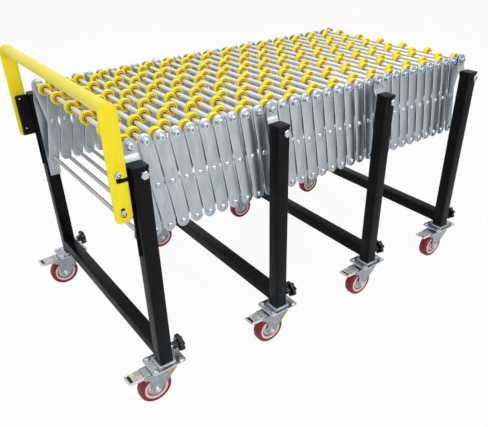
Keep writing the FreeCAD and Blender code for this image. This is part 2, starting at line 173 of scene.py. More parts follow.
@dataclass(frozen=True)
class Finish:
    """A surface: what it is made of, how it was made, and what that gives the eye.

    Attributes:
        name: Plain name of the material and its surface.
        colour: sRGB hex colour.
        shade: Second colour that the pattern drifts to.
        roughness: Middle roughness.
        metallic: One for bare or plated metal.
        drift_mm: Size of the soft clouds of colour.
        grain_mm: Size of the fine surface relief.
        relief_mm: Depth of the fine relief.
        spread: How far roughness drifts either way.
        stretch: Scale of the pattern along X, Y and Z, below one where it is drawn out.
        level: How strongly the surface mirrors what is about, one half for plain matter.
        patch: Where another tone shows.
    """

    name: str
    colour: str
    shade: str
    roughness: float
    metallic: float = 0.0
    drift_mm: float = 20.0
    grain_mm: float = 0.8
    relief_mm: float = 0.012
    spread: float = 0.06
    stretch: Triple = (1.0, 1.0, 1.0)
    level: float = 0.5
    patch: Patch | None = None

    def material(self) -> bpy.types.Material:
        """Builds the node material once and returns it.

        Returns:
            The material, the same one at every call.
        """
        made = bpy.data.materials.get(self.name)
        if made:
            return made
        made = bpy.data.materials.new(self.name)
        made.use_nodes = True
        tree = made.node_tree
        tree.nodes.clear()
        place = add_node(tree, "ShaderNodeTexCoord").outputs["Object"]
        drawn = add_node(tree, "ShaderNodeMapping", {"Vector": place, "Scale": self.stretch})
        cloud_noise = add_node(tree, "ShaderNodeTexNoise", {
            "Vector": drawn.outputs["Vector"], "Scale": per_metre(self.drift_mm), "Detail": 3.0,
            "Roughness": 0.55})
        clouds = cloud_noise.outputs["Fac"]
        grain = add_node(tree, "ShaderNodeTexNoise", {
            "Vector": drawn.outputs["Vector"], "Scale": per_metre(self.grain_mm), "Detail": 2.0})
        level = add_node(tree, "ShaderNodeMapRange", {"Value": clouds, **CLOUD_RANGE})
        colour = add_node(tree, "ShaderNodeMix", {
            0: level.outputs["Result"], 6: linear(self.colour), 7: linear(self.shade)}, data_type="RGBA")
        rough = add_node(tree, "ShaderNodeMapRange", {
            "Value": clouds, **CLOUD_RANGE,
            "To Min": self.roughness - self.spread, "To Max": self.roughness + self.spread})
        bump = add_node(tree, "ShaderNodeBump", {
            "Height": grain.outputs["Fac"], "Strength": 1.0, "Distance": self.relief_mm / 1000})
        tone = colour.outputs[2]
        if self.patch:
            tone = self.patch.tint(tree, tone)
        shader = add_node(tree, "ShaderNodeBsdfPrincipled", {
            "Base Color": tone, "Roughness": rough.outputs["Result"], "Metallic": self.metallic,
            "Normal": bump.outputs["Normal"], "Specular IOR Level": self.level})
        add_node(tree, "ShaderNodeOutputMaterial", {"Surface": shader.outputs["BSDF"]})
        return made


# Bright zinc plate on rolled strip: a cool grey sheen with soft clouds and hardly any sparkle.
ZINC_STRIP = Finish("bright zinc plate on rolled strip", "#BDC5CA", "#A5B0B8", 0.34, 1.0,
                    drift_mm=22, grain_mm=0.9, relief_mm=0.012, spread=0.07, stretch=(1.0, 1.0, 0.35))
# Bright zinc plate on turned and headed parts: a little whiter and glossier than the strip.
ZINC_HEAD = Finish("bright zinc plate on headed steel", "#D3D8DF", "#B4BDC6", 0.17, 1.0,
                   drift_mm=6, grain_mm=0.7, relief_mm=0.008, spread=0.04)
# White bright zinc on pressed flanges: its milky film looks nearly white, with a lilac cast. On edges, the
# broken edges of the strips and the sheared rims of plates and treads, it is a painted highlight, lighter than
# their own zinc.
WHITE_ZINC_AND_EDGE_HIGHLIGHT = Finish("white bright zinc plate", "#ECEDF3", "#DCDFE8", 0.26, 0.62,
                    drift_mm=9, grain_mm=0.7, relief_mm=0.01, spread=0.05)
# Zinc plate with a straw cloud of passivation at the fork's front corner.
ZINC_FORK = Finish("zinc plate with straw passivation", "#B9C0C4", "#A3ABB1", 0.30, 1.0,
                   drift_mm=12,
                   patch=Patch("#D0A981", (0.020, 0.0, 0.100), (1.0, 0.0, 1.0), 0.0, 0.008, 0.032))
# Drawn tube with a pale plating: nearly white, with the light running along it.
AXLE_TUBE = Finish("pale plated drawn steel", "#F6F6FB", "#ECECF3", 0.28, 0.52,
                   drift_mm=30, relief_mm=0.01, stretch=(1.0, 0.2, 1.0))
# Cold drawn rod, zinc flashed: light grey, with one bright line along it.
DRAWN_ROD = Finish("cold drawn mild steel rod", "#D8D8D9", "#C4C5C7", 0.32, 1.0,
                   drift_mm=25, stretch=(1.0, 0.2, 1.0))
# Zinc plate with yellow passivation: warm straw where the chromate stayed.
YELLOW_ZINC = Finish("yellow passivated zinc plate", "#DAD3BC", "#C6C2B0", 0.34, 1.0,
                     drift_mm=14)
# Black polyester powder coat: near black, satin, with a fine orange peel.
BLACK_COAT = Finish("black polyester powder coat", "#0B0B0D", "#0F1012", 0.36,
                    drift_mm=60, grain_mm=1.6, relief_mm=0.03, spread=0.05, level=0.10)
# Yellow polyester powder coat: clean bright yellow, fairly glossy, with a fine orange peel.
YELLOW_COAT = Finish("yellow polyester powder coat", "#F3E016", "#EFD912", 0.36,
                     drift_mm=70, grain_mm=1.8, relief_mm=0.03, spread=0.04, level=0.32)
# The same coat on the round tube, its colour painted paler as painted light from above, where it also holds a
# long soft highlight.
YELLOW_TUBE_PAINTED_PALER = Finish("yellow polyester powder coat on tube", "#FDF03A", "#FAEA2E", 0.32,
                     drift_mm=70, grain_mm=1.8, relief_mm=0.03, spread=0.04)
# Moulded yellow polypropylene: a warm yellow, slightly waxy, with its tone drifting from wheel to wheel.
# The groove between rim and hub is painted in a deeper tone, a painted shade for the recess.
WHEEL_PLASTIC = Finish("injection moulded yellow polypropylene", "#FEF230", "#FCE722", 0.34,
                       drift_mm=55, grain_mm=0.6, relief_mm=0.02,
                       # Painted shade: the mustard ring darkens the groove.
                       patch=Patch("#DCA813", (0.0, 0.0, 0.0), (1.0, 0.0, 1.0), 0.0128, 0.0008, 0.0024))
# Painted shade: dark brown and half dull, for the skate wheels' bearings deep in their bores and the dark gap
# of the caster wheels.
HUB_AND_GAP_SHADE = Finish("greased bearing steel", "#3A1F16", "#28150F", 0.5, 0.2,
                       drift_mm=5, grain_mm=0.5, relief_mm=0.02, spread=0.08)
# Cast polyurethane: dark red, satin, faintly marbled.
RED_TYRE = Finish("cast dark red polyurethane", "#8A1822", "#76121B", 0.34,
                  drift_mm=16, relief_mm=0.02)
# Moulded polypropylene core: off-white with a pink cast.
WHEEL_CORE = Finish("moulded off-white polypropylene", "#E8D3CC", "#DCC4BD", 0.45,
                    drift_mm=12, relief_mm=0.02, spread=0.05)
# Moulded phenolic: deep black and polished, so that each lobe carries a white streak. The same black under the
# pedal slots is painted shade.
BLACK_PHENOLIC_AND_SLOT_SHADE = Finish("moulded black phenolic", "#070708", "#0B0B0D", 0.13,
                      drift_mm=10, grain_mm=0.7, relief_mm=0.006, spread=0.03)


# Shapes


MERGE = 1e-6                     # distance within which points of one shell are joined
WORN = 0.0002                    # how much a washer's rim is rounded off
SLOPED, FLAT = 0.3, 0.95         # share of a normal across its plate: on a broken edge, on the flat


def linked(name: str, data: bpy.types.ID) -> bpy.types.Object:
    """A new object in the scene.

    Args:
        name: Name of the object.
        data: Mesh, curve, lamp or camera that it shows.

    Returns:
        The object, at the origin.
    """
    made = bpy.data.objects.new(name, data)
    bpy.context.scene.collection.objects.link(made)
    return made


def shaded(mesh: Mesh, angle: float = 34.0) -> Mesh:
    """Smooths a mesh apart from its edges sharper than an angle in degrees, and returns it.

    Args:
        mesh: Mesh that is smoothed.
        angle: Least angle of a sharp edge.

    Returns:
        The same mesh.
    """
    mesh.polygons.foreach_set("use_smooth", [True] * len(mesh.polygons))
    mesh.set_sharp_from_angle(angle=math.radians(angle))
    return mesh


def closed_mesh(shape: bmesh.types.BMesh, finish: Finish) -> Mesh:
    """Ends a bmesh as a closed mesh with its faces outwards.

    Args:
        shape: Geometry in its final place, freed here.
        finish: Finish of all its faces.

    Returns:
        The finished mesh.
    """
    bmesh.ops.remove_doubles(shape, verts=shape.verts, dist=MERGE)
    bmesh.ops.recalc_face_normals(shape, faces=shape.faces)
    mesh = bpy.data.meshes.new("shape")
    shape.to_mesh(mesh)
    shape.free()
    mesh.materials.append(finish.material())
    return shaded(mesh)


def arc(centre: Pair, radius: float, start: float, end: float, steps: int) -> list[Pair]:
    """Points of an arc between two angles in degrees, both ends included."""
    angles = [math.radians(start + (end - start) * step / steps) for step in range(steps + 1)]
    return [(centre[0] + radius * math.cos(a), centre[1] + radius * math.sin(a)) for a in angles]


def ring(radius: float, count: int, turn: float = 0.0, centre: Pair = (0.0, 0.0)) -> list[Pair]:
    """Points of a regular polygon about a centre, the first one turned by an angle in degrees."""
    return arc(centre, radius, turn, turn + 360, count)[:-1]


def rounded_box(low: Pair, high: Pair, radius: float, steps: int = 3) -> list[Pair]:
    """Outline of a rectangle with round corners.

    Args:
        low: Corner with the lowest coordinates.
        high: Corner with the highest ones.
        radius: Radius of the corners.
        steps: Faces round a corner.

    Returns:
        Points of the closed line, anticlockwise.
    """
    left, right = low[0] + radius, high[0] - radius
    under, over = low[1] + radius, high[1] - radius
    corners = ((right, over, 0), (left, over, 90), (left, under, 180), (right, under, 270))
    return [point for x, y, start in corners for point in arc((x, y), radius, start, start + 90, steps)]


def box_about(centre: Pair, half: Pair, radius: float, steps: int = 3) -> list[Pair]:
    """Outline of a rectangle with round corners about a centre, from its half sizes."""
    low, high = [(centre[0] + sign * half[0], centre[1] + sign * half[1]) for sign in (-1, 1)]
    return rounded_box(low, high, radius, steps)


def long_hole(first: Pair, last: Pair, radius: float, steps: int = 8) -> list[Pair]:
    """Outline with full-round ends about two centres.

    Args:
        first: Centre of one end.
        last: Centre of the other end.
        radius: Radius of both.
        steps: Faces round an end.

    Returns:
        Points of the closed line, anticlockwise.
    """
    heading = math.degrees(math.atan2(last[1] - first[1], last[0] - first[0]))
    return (arc(last, radius, heading - 90, heading + 90, steps)
            + arc(first, radius, heading + 90, heading + 270, steps))


def mirrored(half: Sequence[Pair]) -> list[Pair]:
    """Profile of a wheel or ring from the points of its near half."""
    return [*half, *((radius, -along) for radius, along in reversed(half))]


def area(outline: Sequence[Pair]) -> float:
    """Signed area of an outline, positive when it runs anticlockwise."""
    following = list(outline[1:]) + [outline[0]]
    return sum(a[0] * b[1] - b[0] * a[1] for a, b in zip(outline, following)) / 2


def extruded(outline: Sequence[Pair], ends: Pair, axis: Axis, finish: Finish,
             holes: Sequence[Sequence[Pair]] = (), edge: float = 0.0) -> Mesh:
    """Extrudes a flat outline with its holes between two places on an axis.

    Args:
        outline: Outer line, in the two other coordinates of the axis.
        ends: The two places, in either order.
        axis: Direction of the extrusion.
        finish: Finish of all its faces.
        holes: Inner lines.
        edge: Width of the broken edge round the outline and the holes.

    Returns:
        A closed mesh in its place.
    """
    low, high = sorted(ends)
    curve = bpy.data.curves.new("outline", "CURVE")
    curve.dimensions = "2D"
    curve.fill_mode = "BOTH"
    curve.extrude = (high - low) / 2 - edge
    curve.bevel_depth = edge
    curve.bevel_resolution = 1 if edge else 0
    curve.offset = -edge
    for number, line in enumerate([outline, *holes]):
        points = list(line)
        if (area(points) > 0) == bool(number):
            points.reverse()
        spline = curve.splines.new("POLY")
        spline.points.add(len(points) - 1)
        for target, (u, v) in zip(spline.points, points):
            target.co = (u, v, 0.0, 1.0)
        spline.use_cyclic_u = True
    holder = linked("outline", curve)
    bpy.context.view_layer.update()
    flat = bpy.data.meshes.new_from_object(holder.evaluated_get(bpy.context.evaluated_depsgraph_get()))
    bpy.data.objects.remove(holder)
    bpy.data.curves.remove(curve)
    shape = bmesh.new()
    shape.from_mesh(flat)
    bpy.data.meshes.remove(flat)
    for vertex in shape.verts:
        vertex.co = axis.point(vertex.co.x, vertex.co.y, vertex.co.z + (low + high) / 2)
    return closed_mesh(shape, finish)


@dataclass(frozen=True)
class Seat:
    """Spot that a turned or hexagonal piece stands on. Heights are measured from it.

    Attributes:
        centre: Middle of the spot.
        axis: Direction that the piece stands along.
        way: One up along the axis, minus one back along it.
    """

    centre: Triple = (0.0, 0.0, 0.0)
    axis: Axis = Axis.Y
    way: int = 1

    def turned(self, profile: Sequence[Pair], finish: Finish, segments: int,
               bored: bool = False) -> Mesh:
        """Turns a profile about the axis.

        Args:
            profile: Radius and height of each point.
            finish: Finish of all its faces.
            segments: Faces round the axis.
            bored: True where the profile closes on itself round a bore.

        Returns:
            A closed mesh in its place.
        """
        shape = bmesh.new()
        rings = []
        for radius, height in profile:
            turns = [2 * math.pi * step / segments for step in range(segments if radius > 0 else 1)]
            offsets = [self.axis.point(radius * math.cos(turn), radius * math.sin(turn), height * self.way)
                       for turn in turns]
            rings.append([shape.verts.new([a + b for a, b in zip(self.centre, offset)])
                          for offset in offsets])
        pairs = list(zip(rings, rings[1:]))
        if bored:
            pairs.append((rings[-1], rings[0]))
        for low, high in pairs:
            for step in range(segments):
                after = (step + 1) % segments
                corners = [low[step % len(low)], low[after % len(low)],
                           high[after % len(high)], high[step % len(high)]]
                shape.faces.new(list(dict.fromkeys(corners)))
        return closed_mesh(shape, finish)

    def pin(self, radius: float, start: float, end: float, finish: Finish, segments: int) -> Mesh:
        """Plain round pin between two heights."""
        return self.turned([(0, start), (radius, start), (radius, end), (0, end)], finish, segments)

    def washer(self, radius: float, height: float, finish: Finish, segments: int = 20) -> Mesh:
        """Washer with a worn rim, closed under the head that stands on it."""
        profile = [(0, 0), (radius, 0), (radius - WORN, height), (0, height + WORN)]
        return self.turned(profile, finish, segments)

    def hexagon(self, radius: float, start: float, end: float, finish: Finish, edge: float,
                turn: float) -> Mesh:
        """Hexagon with broken edges between two heights, turned by an angle in degrees.

        Args:
            radius: Distance from the middle to a corner.
            start: Height at which it starts.
            end: Height at which it ends.
            finish: Finish of all its faces.
            edge: Width of its broken edges.
            turn: Angle in degrees by which its hexagon is turned.

        Returns:
            A closed mesh in its place.
        """
        u, v, base = self.axis.parts(self.centre)
        ends = (base + self.way * start, base + self.way * end)
        return extruded(ring(radius, 6, turn, (u, v)), ends, self.axis, finish, edge=edge)


def marked(mesh: Mesh, low: float = -1.0, high: float = 2.0) -> Mesh:
    """Marks the faces that show the second finish.

    Args:
        mesh: Mesh that is marked.
        low: Least share of a marked face's normal along Y, either way.
        high: Greatest share of it.

    Returns:
        The mesh, by default with all its faces marked.
    """
    layer = mesh.attributes.get(INSERT) or mesh.attributes.new(INSERT, "BOOLEAN", "FACE")
    layer.data.foreach_set("value", [low < abs(face.normal.y) < high for face in mesh.polygons])
    return mesh


def unmarked(mesh: Mesh) -> Mesh:
    """Notes that no face of a mesh shows the second finish, and returns it."""
    return marked(mesh, 2.0)


def rimmed(mesh: Mesh, finish: Finish) -> Mesh:
    """Gives the sheared edges of a lying plate another finish, here a lighter one as a painted highlight, and
    returns it.

    Args:
        mesh: Plate that lies flat.
        finish: Finish of its edges.

    Returns:
        The same mesh.
    """
    mesh.materials.append(finish.material())
    for face in mesh.polygons:
        face.material_index = int(abs(face.normal.z) < FLAT)
    return mesh


def placed(mesh: Mesh, centre: Sequence[float] = (0.0, 0.0, 0.0)) -> Mesh:
    """Notes on each point its place about a centre, for finishes with a patch, and returns the mesh.

    Args:
        mesh: Mesh that is noted on.
        centre: Point that places are measured from.

    Returns:
        The same mesh.
    """
    layer = mesh.attributes.new(LOCAL, "FLOAT_VECTOR", "POINT")
    layer.data.foreach_set("vector", [c for vertex in mesh.vertices for c in vertex.co - Vector(centre)])
    return mesh


def moved(mesh: Mesh, x: float = 0.0, y: float = 0.0, z: float = 0.0) -> Mesh:
    """A copy of a mesh, moved.

    Args:
        mesh: Mesh that is copied.
        x: Distance along X.
        y: Distance along Y.
        z: Distance along Z.

    Returns:
        The copy.
    """
    copy = mesh.copy()
    copy.transform(Matrix.Translation((x, y, z)))
    return copy


class Piece:
    """Gathers closed shells into one mesh, each face with its own finish."""

    def __init__(self, name: str) -> None:
        """Starts an empty piece.

        Args:
            name: Plain name of the piece.
        """
        self.name = name
        self.shape = bmesh.new()
        self.finishes: list[bpy.types.Material] = []

    def add(self, *meshes: Mesh) -> "Piece":
        """Adds shells that are already in their place, and returns the piece.

        Args:
            meshes: Shells, each with its own finishes.

        Returns:
            The piece itself.
        """
        for mesh in meshes:
            for material in mesh.materials:
                if material not in self.finishes:
                    self.finishes.append(material)
            numbers = [self.finishes.index(material) for material in mesh.materials]
            start = len(self.shape.faces)
            self.shape.from_mesh(mesh)
            self.shape.faces.ensure_lookup_table()
            for face in self.shape.faces[start:]:
                face.material_index = numbers[min(face.material_index, len(numbers) - 1)]
        return self

    def mesh(self) -> Mesh:
        """Ends the piece as a plain mesh.

        Returns:
            The mesh, with the piece's own bmesh freed.
        """
        mesh = bpy.data.meshes.new(self.name)
        self.shape.to_mesh(mesh)
        self.shape.free()
        for material in self.finishes:
            mesh.materials.append(material)
        return mesh

    def ride(self, body: str, *nodes: str, slot: str) -> bpy.types.Object:
        """Makes the object, hands it to its body and hides the solids it stands for.

        Args:
            body: Body that it moves with.
            nodes: CAD nodes that it replaces.
            slot: Material slot of the record; not used.

        Returns:
            The object at the origin.
        """
        mesh = self.mesh()
        made = linked(self.name, mesh)
        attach(made, body)
        if nodes:
            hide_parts(*nodes)
        LOG.info("%s: %d faces on %s", self.name, len(mesh.polygons), body)
        return made


class Row:
    """Geometry Nodes tree that repeats one shape in a straight row."""

    def __init__(self) -> None:
        """Builds the tree with its named inputs."""
        self.tree = bpy.data.node_groups.new("row of like pieces", "GeometryNodeTree")
        sockets = {"Shape": "Object", "Count": "Int", "First": "Vector", "Step": "Vector",
                   "Finish": "Material", "Insert": "Material"}
        for name, kind in sockets.items():
            self.tree.interface.new_socket(name, in_out="INPUT", socket_type="NodeSocket" + kind)
        self.tree.interface.new_socket("Row", in_out="OUTPUT", socket_type="NodeSocketGeometry")
        given = add_node(self.tree, "NodeGroupInput").outputs
        line = add_node(self.tree, "GeometryNodeMeshLine", {
            "Count": given["Count"], "Start Location": given["First"], "Offset": given["Step"]},
            mode="OFFSET")
        shape = add_node(self.tree, "GeometryNodeObjectInfo", {"Object": given["Shape"]})
        placed = add_node(self.tree, "GeometryNodeInstanceOnPoints", {
            "Points": line.outputs["Mesh"], "Instance": shape.outputs["Geometry"]})
        real = add_node(self.tree, "GeometryNodeRealizeInstances", {"Geometry": placed.outputs["Instances"]})
        body = add_node(self.tree, "GeometryNodeSetMaterial", {
            "Geometry": real.outputs["Geometry"], "Material": given["Finish"]})
        choice = add_node(self.tree, "GeometryNodeInputNamedAttribute", {"Name": INSERT}, data_type="BOOLEAN")
        chosen = next(socket for socket in choice.outputs if socket.enabled and socket.name == "Attribute")
        insert = add_node(self.tree, "GeometryNodeSetMaterial", {
            "Geometry": body.outputs["Geometry"], "Selection": chosen, "Material": given["Insert"]})
        add_node(self.tree, "NodeGroupOutput", {"Row": insert.outputs["Geometry"]})
        self.inputs = {item.name: item.identifier for item in self.tree.interface.items_tree
                       if item.item_type == "SOCKET" and item.in_out == "INPUT"}

    def of(self, shape: Mesh, count: int, step: Sequence[float], finish: Finish,
           insert: Finish | None = None, first: Sequence[float] = (0.0, 0.0, 0.0)) -> Mesh:
        """Repeats a shape and returns the row as one plain mesh.

        Args:
            shape: Mesh of the first piece, in its place.
            count: How many pieces the row has.
            step: From one piece to the next.
            finish: Finish of the row.
            insert: Finish of the faces marked as inserts, among them painted edge highlights and the painted
                shade of the bearings.
            first: Moves the whole row.

        Returns:
            The row, with no instances left.
        """
        source, holder = linked("shape", shape), linked("row", bpy.data.meshes.new("row"))
        modifier = holder.modifiers.new("row", "NODES")
        modifier.node_group = self.tree
        values = {"Shape": source, "Count": count, "First": [float(v) for v in first],
                  "Step": [float(v) for v in step], "Finish": finish.material(),
                  "Insert": (insert or finish).material()}
        for name, value in values.items():
            modifier[self.inputs[name]] = value
        bpy.context.view_layer.update()
        result = bpy.data.meshes.new_from_object(holder.evaluated_get(bpy.context.evaluated_depsgraph_get()))
        holder.modifiers.remove(modifier)
        for made in (source, holder):
            bpy.data.objects.remove(made)
        return result


# Sub-assemblies


@dataclass(frozen=True)
class Layout:
    """Places that the sub-assemblies share."""

    bays: int = 30
    pitch: float = 0.0414
    first_x: float = -0.5865
    deck_z: float = 0.755
    rod_z: float = 0.516
    inner_y: float = 0.316
    inner_link_y: float = 0.319
    outer_link_y: float = 0.3205
    seat_y: float = 0.3235
    strip_y: float = 0.325
    strip_seat_y: float = 0.329
    leg_in_y: float = 0.3465
    leg_out_y: float = 0.3865
    leg_y: float = 0.3665
    setback: float = 0.005
    supports: tuple[int, ...] = (0, 10, 20, 30)
    support_bays: int = 10
    plate_z: float = 0.125
    handle_x: float = -0.6415
    upper_bolt_z: float = 0.713
    strip_thickness: float = 0.004
    arm_thickness: float = 0.004
    bracket_thickness: float = 0.005

    @property
    def step(self) -> Triple:
        """From one axle to the next."""
        return self.pitch, 0.0, 0.0

    @property
    def support_step(self) -> Triple:
        """From one support to the next."""
        return self.support_bays * self.pitch, 0.0, 0.0

    def axle_x(self, index: float) -> float:
        """X of an axle, or between two."""
        return self.first_x + index * self.pitch

    def leg(self, index: int, side: Side) -> Pair:
        """X and Y of the centre line of a leg."""
        return self.axle_x(index) - self.setback, side.value * self.leg_y


@dataclass
class SkateWheels:
    """The rows of skate wheels: one moulded wheel shape, six to an axle, each row a body of its own."""

    layout: Layout
    row: Row
    count: int = 6
    radius: float = 0.019
    bore: float = 0.0065
    hub_radius: float = 0.0094
    bearing_half: float = 0.0050
    spacing: float = 0.1113
    outermost: float = 0.296

    def wheel(self) -> Mesh:
        """One wheel: crowned rim, groove and inner ring of plastic with painted shade in the groove, and a
        bearing painted dark as the shade in its bore.

        Returns:
            The wheel on the first axle, at the middle.
        """
        seat = Seat((self.layout.axle_x(0), 0, self.layout.deck_z))
        rim = [(self.hub_radius, 0.0066), (0.0112, 0.0072), (0.0128, 0.0046), (0.0149, 0.0074),
               (0.0170, 0.0076), (0.0184, 0.0056), (self.radius, 0.0022)]
        shell = [(self.bore, -self.bearing_half), (self.hub_radius, -self.bearing_half),
                 (self.hub_radius, self.bearing_half), (self.bore, self.bearing_half)]
        body = unmarked(seat.turned(mirrored(rim), WHEEL_PLASTIC, 22, bored=True))
        # Painted shade: the bearing is dark brown, standing in for the shade in the bore.
        bearing = marked(seat.turned(shell, HUB_AND_GAP_SHADE, 14, bored=True))
        return placed(Piece("wheel").add(body, bearing).mesh(), seat.centre)

    def build(self) -> None:
        """Makes every row, staggered from axle to axle."""
        wheel = self.wheel()
        for index in range(self.layout.bays + 1):
            way = -1 if index % 2 == 0 else 1
            first = (index * self.layout.pitch, way * self.outermost, 0.0)
            row = self.row.of(wheel, self.count, (0, -way * self.spacing, 0), WHEEL_PLASTIC, HUB_AND_GAP_SHADE,
                              first)
            name = "row_%02d" % index
            Piece("skate_wheels_%02d" % index).add(row).ride(name, "wheel_" + name, slot="wheel_plastic")


@dataclass
class Lattice:
    """Scissor strips on both sides, with the axles, cross rods, rivets and heads that pin them."""

    layout: Layout
    row: Row
    strip_radius: float = 0.0173
    strip_edge: float = 0.0011
    axle_radius: float = 0.0062
    rod_radius: float = 0.006
    rod_head_radius: float = 0.0085
    stub_radius: float = 0.0085
    stub_length: float = 0.009
    stub_edge: float = 0.0013
    socket_radius: float = 0.004
    socket_depth: float = 0.005
    socket_play: float = 0.0004
    rivet_radius: float = 0.008
    rivet_height: float = 0.0028

    def strips(self, top: int, ends: Pair) -> Mesh:
        """The strips of one side that lean one way.

        Args:
            top: Axle of the first bay that they hang from, zero or one.
            ends: Y of their two faces.

        Returns:
            One strip for each bay, its broken edges in a lighter finish as a painted highlight.
        """
        plan = self.layout
        pivots = (plan.axle_x(top), plan.deck_z), (plan.axle_x(1 - top), plan.rod_z)
        outline = long_hole(*pivots, self.strip_radius, 9)
        # Painted highlight: the faces of the broken edges take the lighter white zinc.
        strip = marked(extruded(outline, ends, Axis.Y, ZINC_STRIP, edge=self.strip_edge), SLOPED, FLAT)
        return self.row.of(strip, plan.bays, plan.step, ZINC_STRIP, WHITE_ZINC_AND_EDGE_HIGHLIGHT)

    def rivets(self, face: float, way: int) -> Mesh:
        """Tubular rivet heads on one face of the lattice: domed, with a dimple.

        Args:
            face: Y of the face that they stand on.
            way: One towards the far side, minus one towards the near side.

        Returns:
            The row as one mesh in its place.
        """
        plan, height = self.layout, self.rivet_height
        profile = [(0, 0.45 * height), (0.0020, 0.5 * height), (0.0029, height), (0.0046, 0.93 * height),
                   (0.0062, 0.7 * height), (0.0074, 0.35 * height), (self.rivet_radius, 0), (0, 0)]
        seat = Seat((plan.axle_x(0.5), face, (plan.deck_z + plan.rod_z) / 2), way=way)
        return self.row.of(seat.turned(profile, ZINC_HEAD, 16), plan.bays, plan.step, ZINC_HEAD)

    def stub(self, face: float, way: int) -> Mesh:
        """Round stub with a hexagon socket, standing on a thin washer.

        Args:
            face: Y of the face that it stands on.
            way: One towards the far side, minus one towards the near side.

        Returns:
            The closed shells as one mesh in its place.
        """
        x, z = self.layout.axle_x(0), self.layout.deck_z
        seat = Seat((x, face, z), way=way)
        round_line = ring(self.stub_radius, 20, centre=(x, z))
        socket = ring(self.socket_radius, 6, centre=(x, z))
        head = extruded(round_line, (face, face + way * self.stub_length), Axis.Y, ZINC_HEAD, [socket],
                        edge=self.stub_edge)
        depth = self.stub_length - self.socket_depth
        floor = seat.pin(self.socket_radius + self.socket_play, depth, 0, ZINC_HEAD, 12)
        inside = self.stub_radius - 0.0005
        washer = [(inside, 0), (self.stub_radius + 0.0028, 0), (self.stub_radius + 0.0025, 0.0011),
                  (inside, 0.0012)]
        return Piece("stub").add(head, floor, seat.turned(washer, ZINC_HEAD, 20, bored=True)).mesh()

    def rod_head(self, face: float, way: int) -> Mesh:
        """Domed head of a cross rod with its socket, on a washer.

        Args:
            face: Y of the face that it stands on.
            way: One towards the far side, minus one towards the near side.

        Returns:
            The closed shells as one mesh in its place.
        """
        seat = Seat((self.layout.axle_x(0), face, self.layout.rod_z), way=way)
        radius = self.rod_head_radius
        dome = [(0, 0.0020), (0.0030, 0.0022), (0.0035, 0.0049), (0.0052, 0.0046), (0.0068, 0.0037),
                (0.0080, 0.0022), (radius, 0.0006), (radius, 0), (0, 0)]
        washer = seat.washer(radius + 0.0020, 0.0009, ZINC_HEAD, 16)
        return Piece("rod head").add(seat.turned(dome, ZINC_HEAD, 16), washer).mesh()

    def cross_pins(self, z: float, radius: float, finish: Finish, segments: int) -> Mesh:
        """The axles or the rods, from one outer strip to the other.

        Args:
            z: Height of the row.
            radius: Radius of each.
            finish: Finish of each.
            segments: Faces round each.

        Returns:
            The row as one mesh in its place.
        """
        plan = self.layout
        pin = Seat((plan.axle_x(0), 0, z)).pin(radius, -plan.seat_y, plan.seat_y, finish, segments)
        return self.row.of(pin, plan.bays + 1, plan.step, finish)

    def build(self) -> None:
        """Makes the strips, their pins and the rods, all of them part of the base."""
        plan = self.layout
        count = plan.bays + 1
        outer, inner = Piece("outer_lattice_strips"), Piece("inner_lattice_strips")
        axles, rods = Piece("top_axles_with_stubs"), Piece("cross_rods_with_heads")
        for side in Side:
            sign = side.value
            seat, inside, end_seat = (sign * y for y in (plan.seat_y, plan.inner_y, plan.strip_seat_y))
            outer.add(self.strips(0, (sign * plan.outer_link_y, seat)), self.rivets(seat, sign))
            inner.add(self.strips(1, (inside, sign * plan.inner_link_y)), self.rivets(inside, -sign))
            for face, number, step in ((seat, count, plan.step),
                                       (end_seat, len(plan.supports), plan.support_step)):
                axles.add(self.row.of(self.stub(face, sign), number, step, ZINC_HEAD))
            rods.add(self.row.of(self.rod_head(seat, sign), count, plan.step, ZINC_HEAD))
        axles.add(self.cross_pins(plan.deck_z, self.axle_radius, AXLE_TUBE, 16))
        rods.add(self.cross_pins(plan.rod_z, self.rod_radius, DRAWN_ROD, 14))
        outer.ride("base", "outer_links", slot="zinc_strip")
        inner.ride("base", "inner_links", slot="zinc_strip")
        axles.ride("base", "top_axles", slot="axle_steel")
        rods.ride("base", "cross_rods", slot="axle_steel")


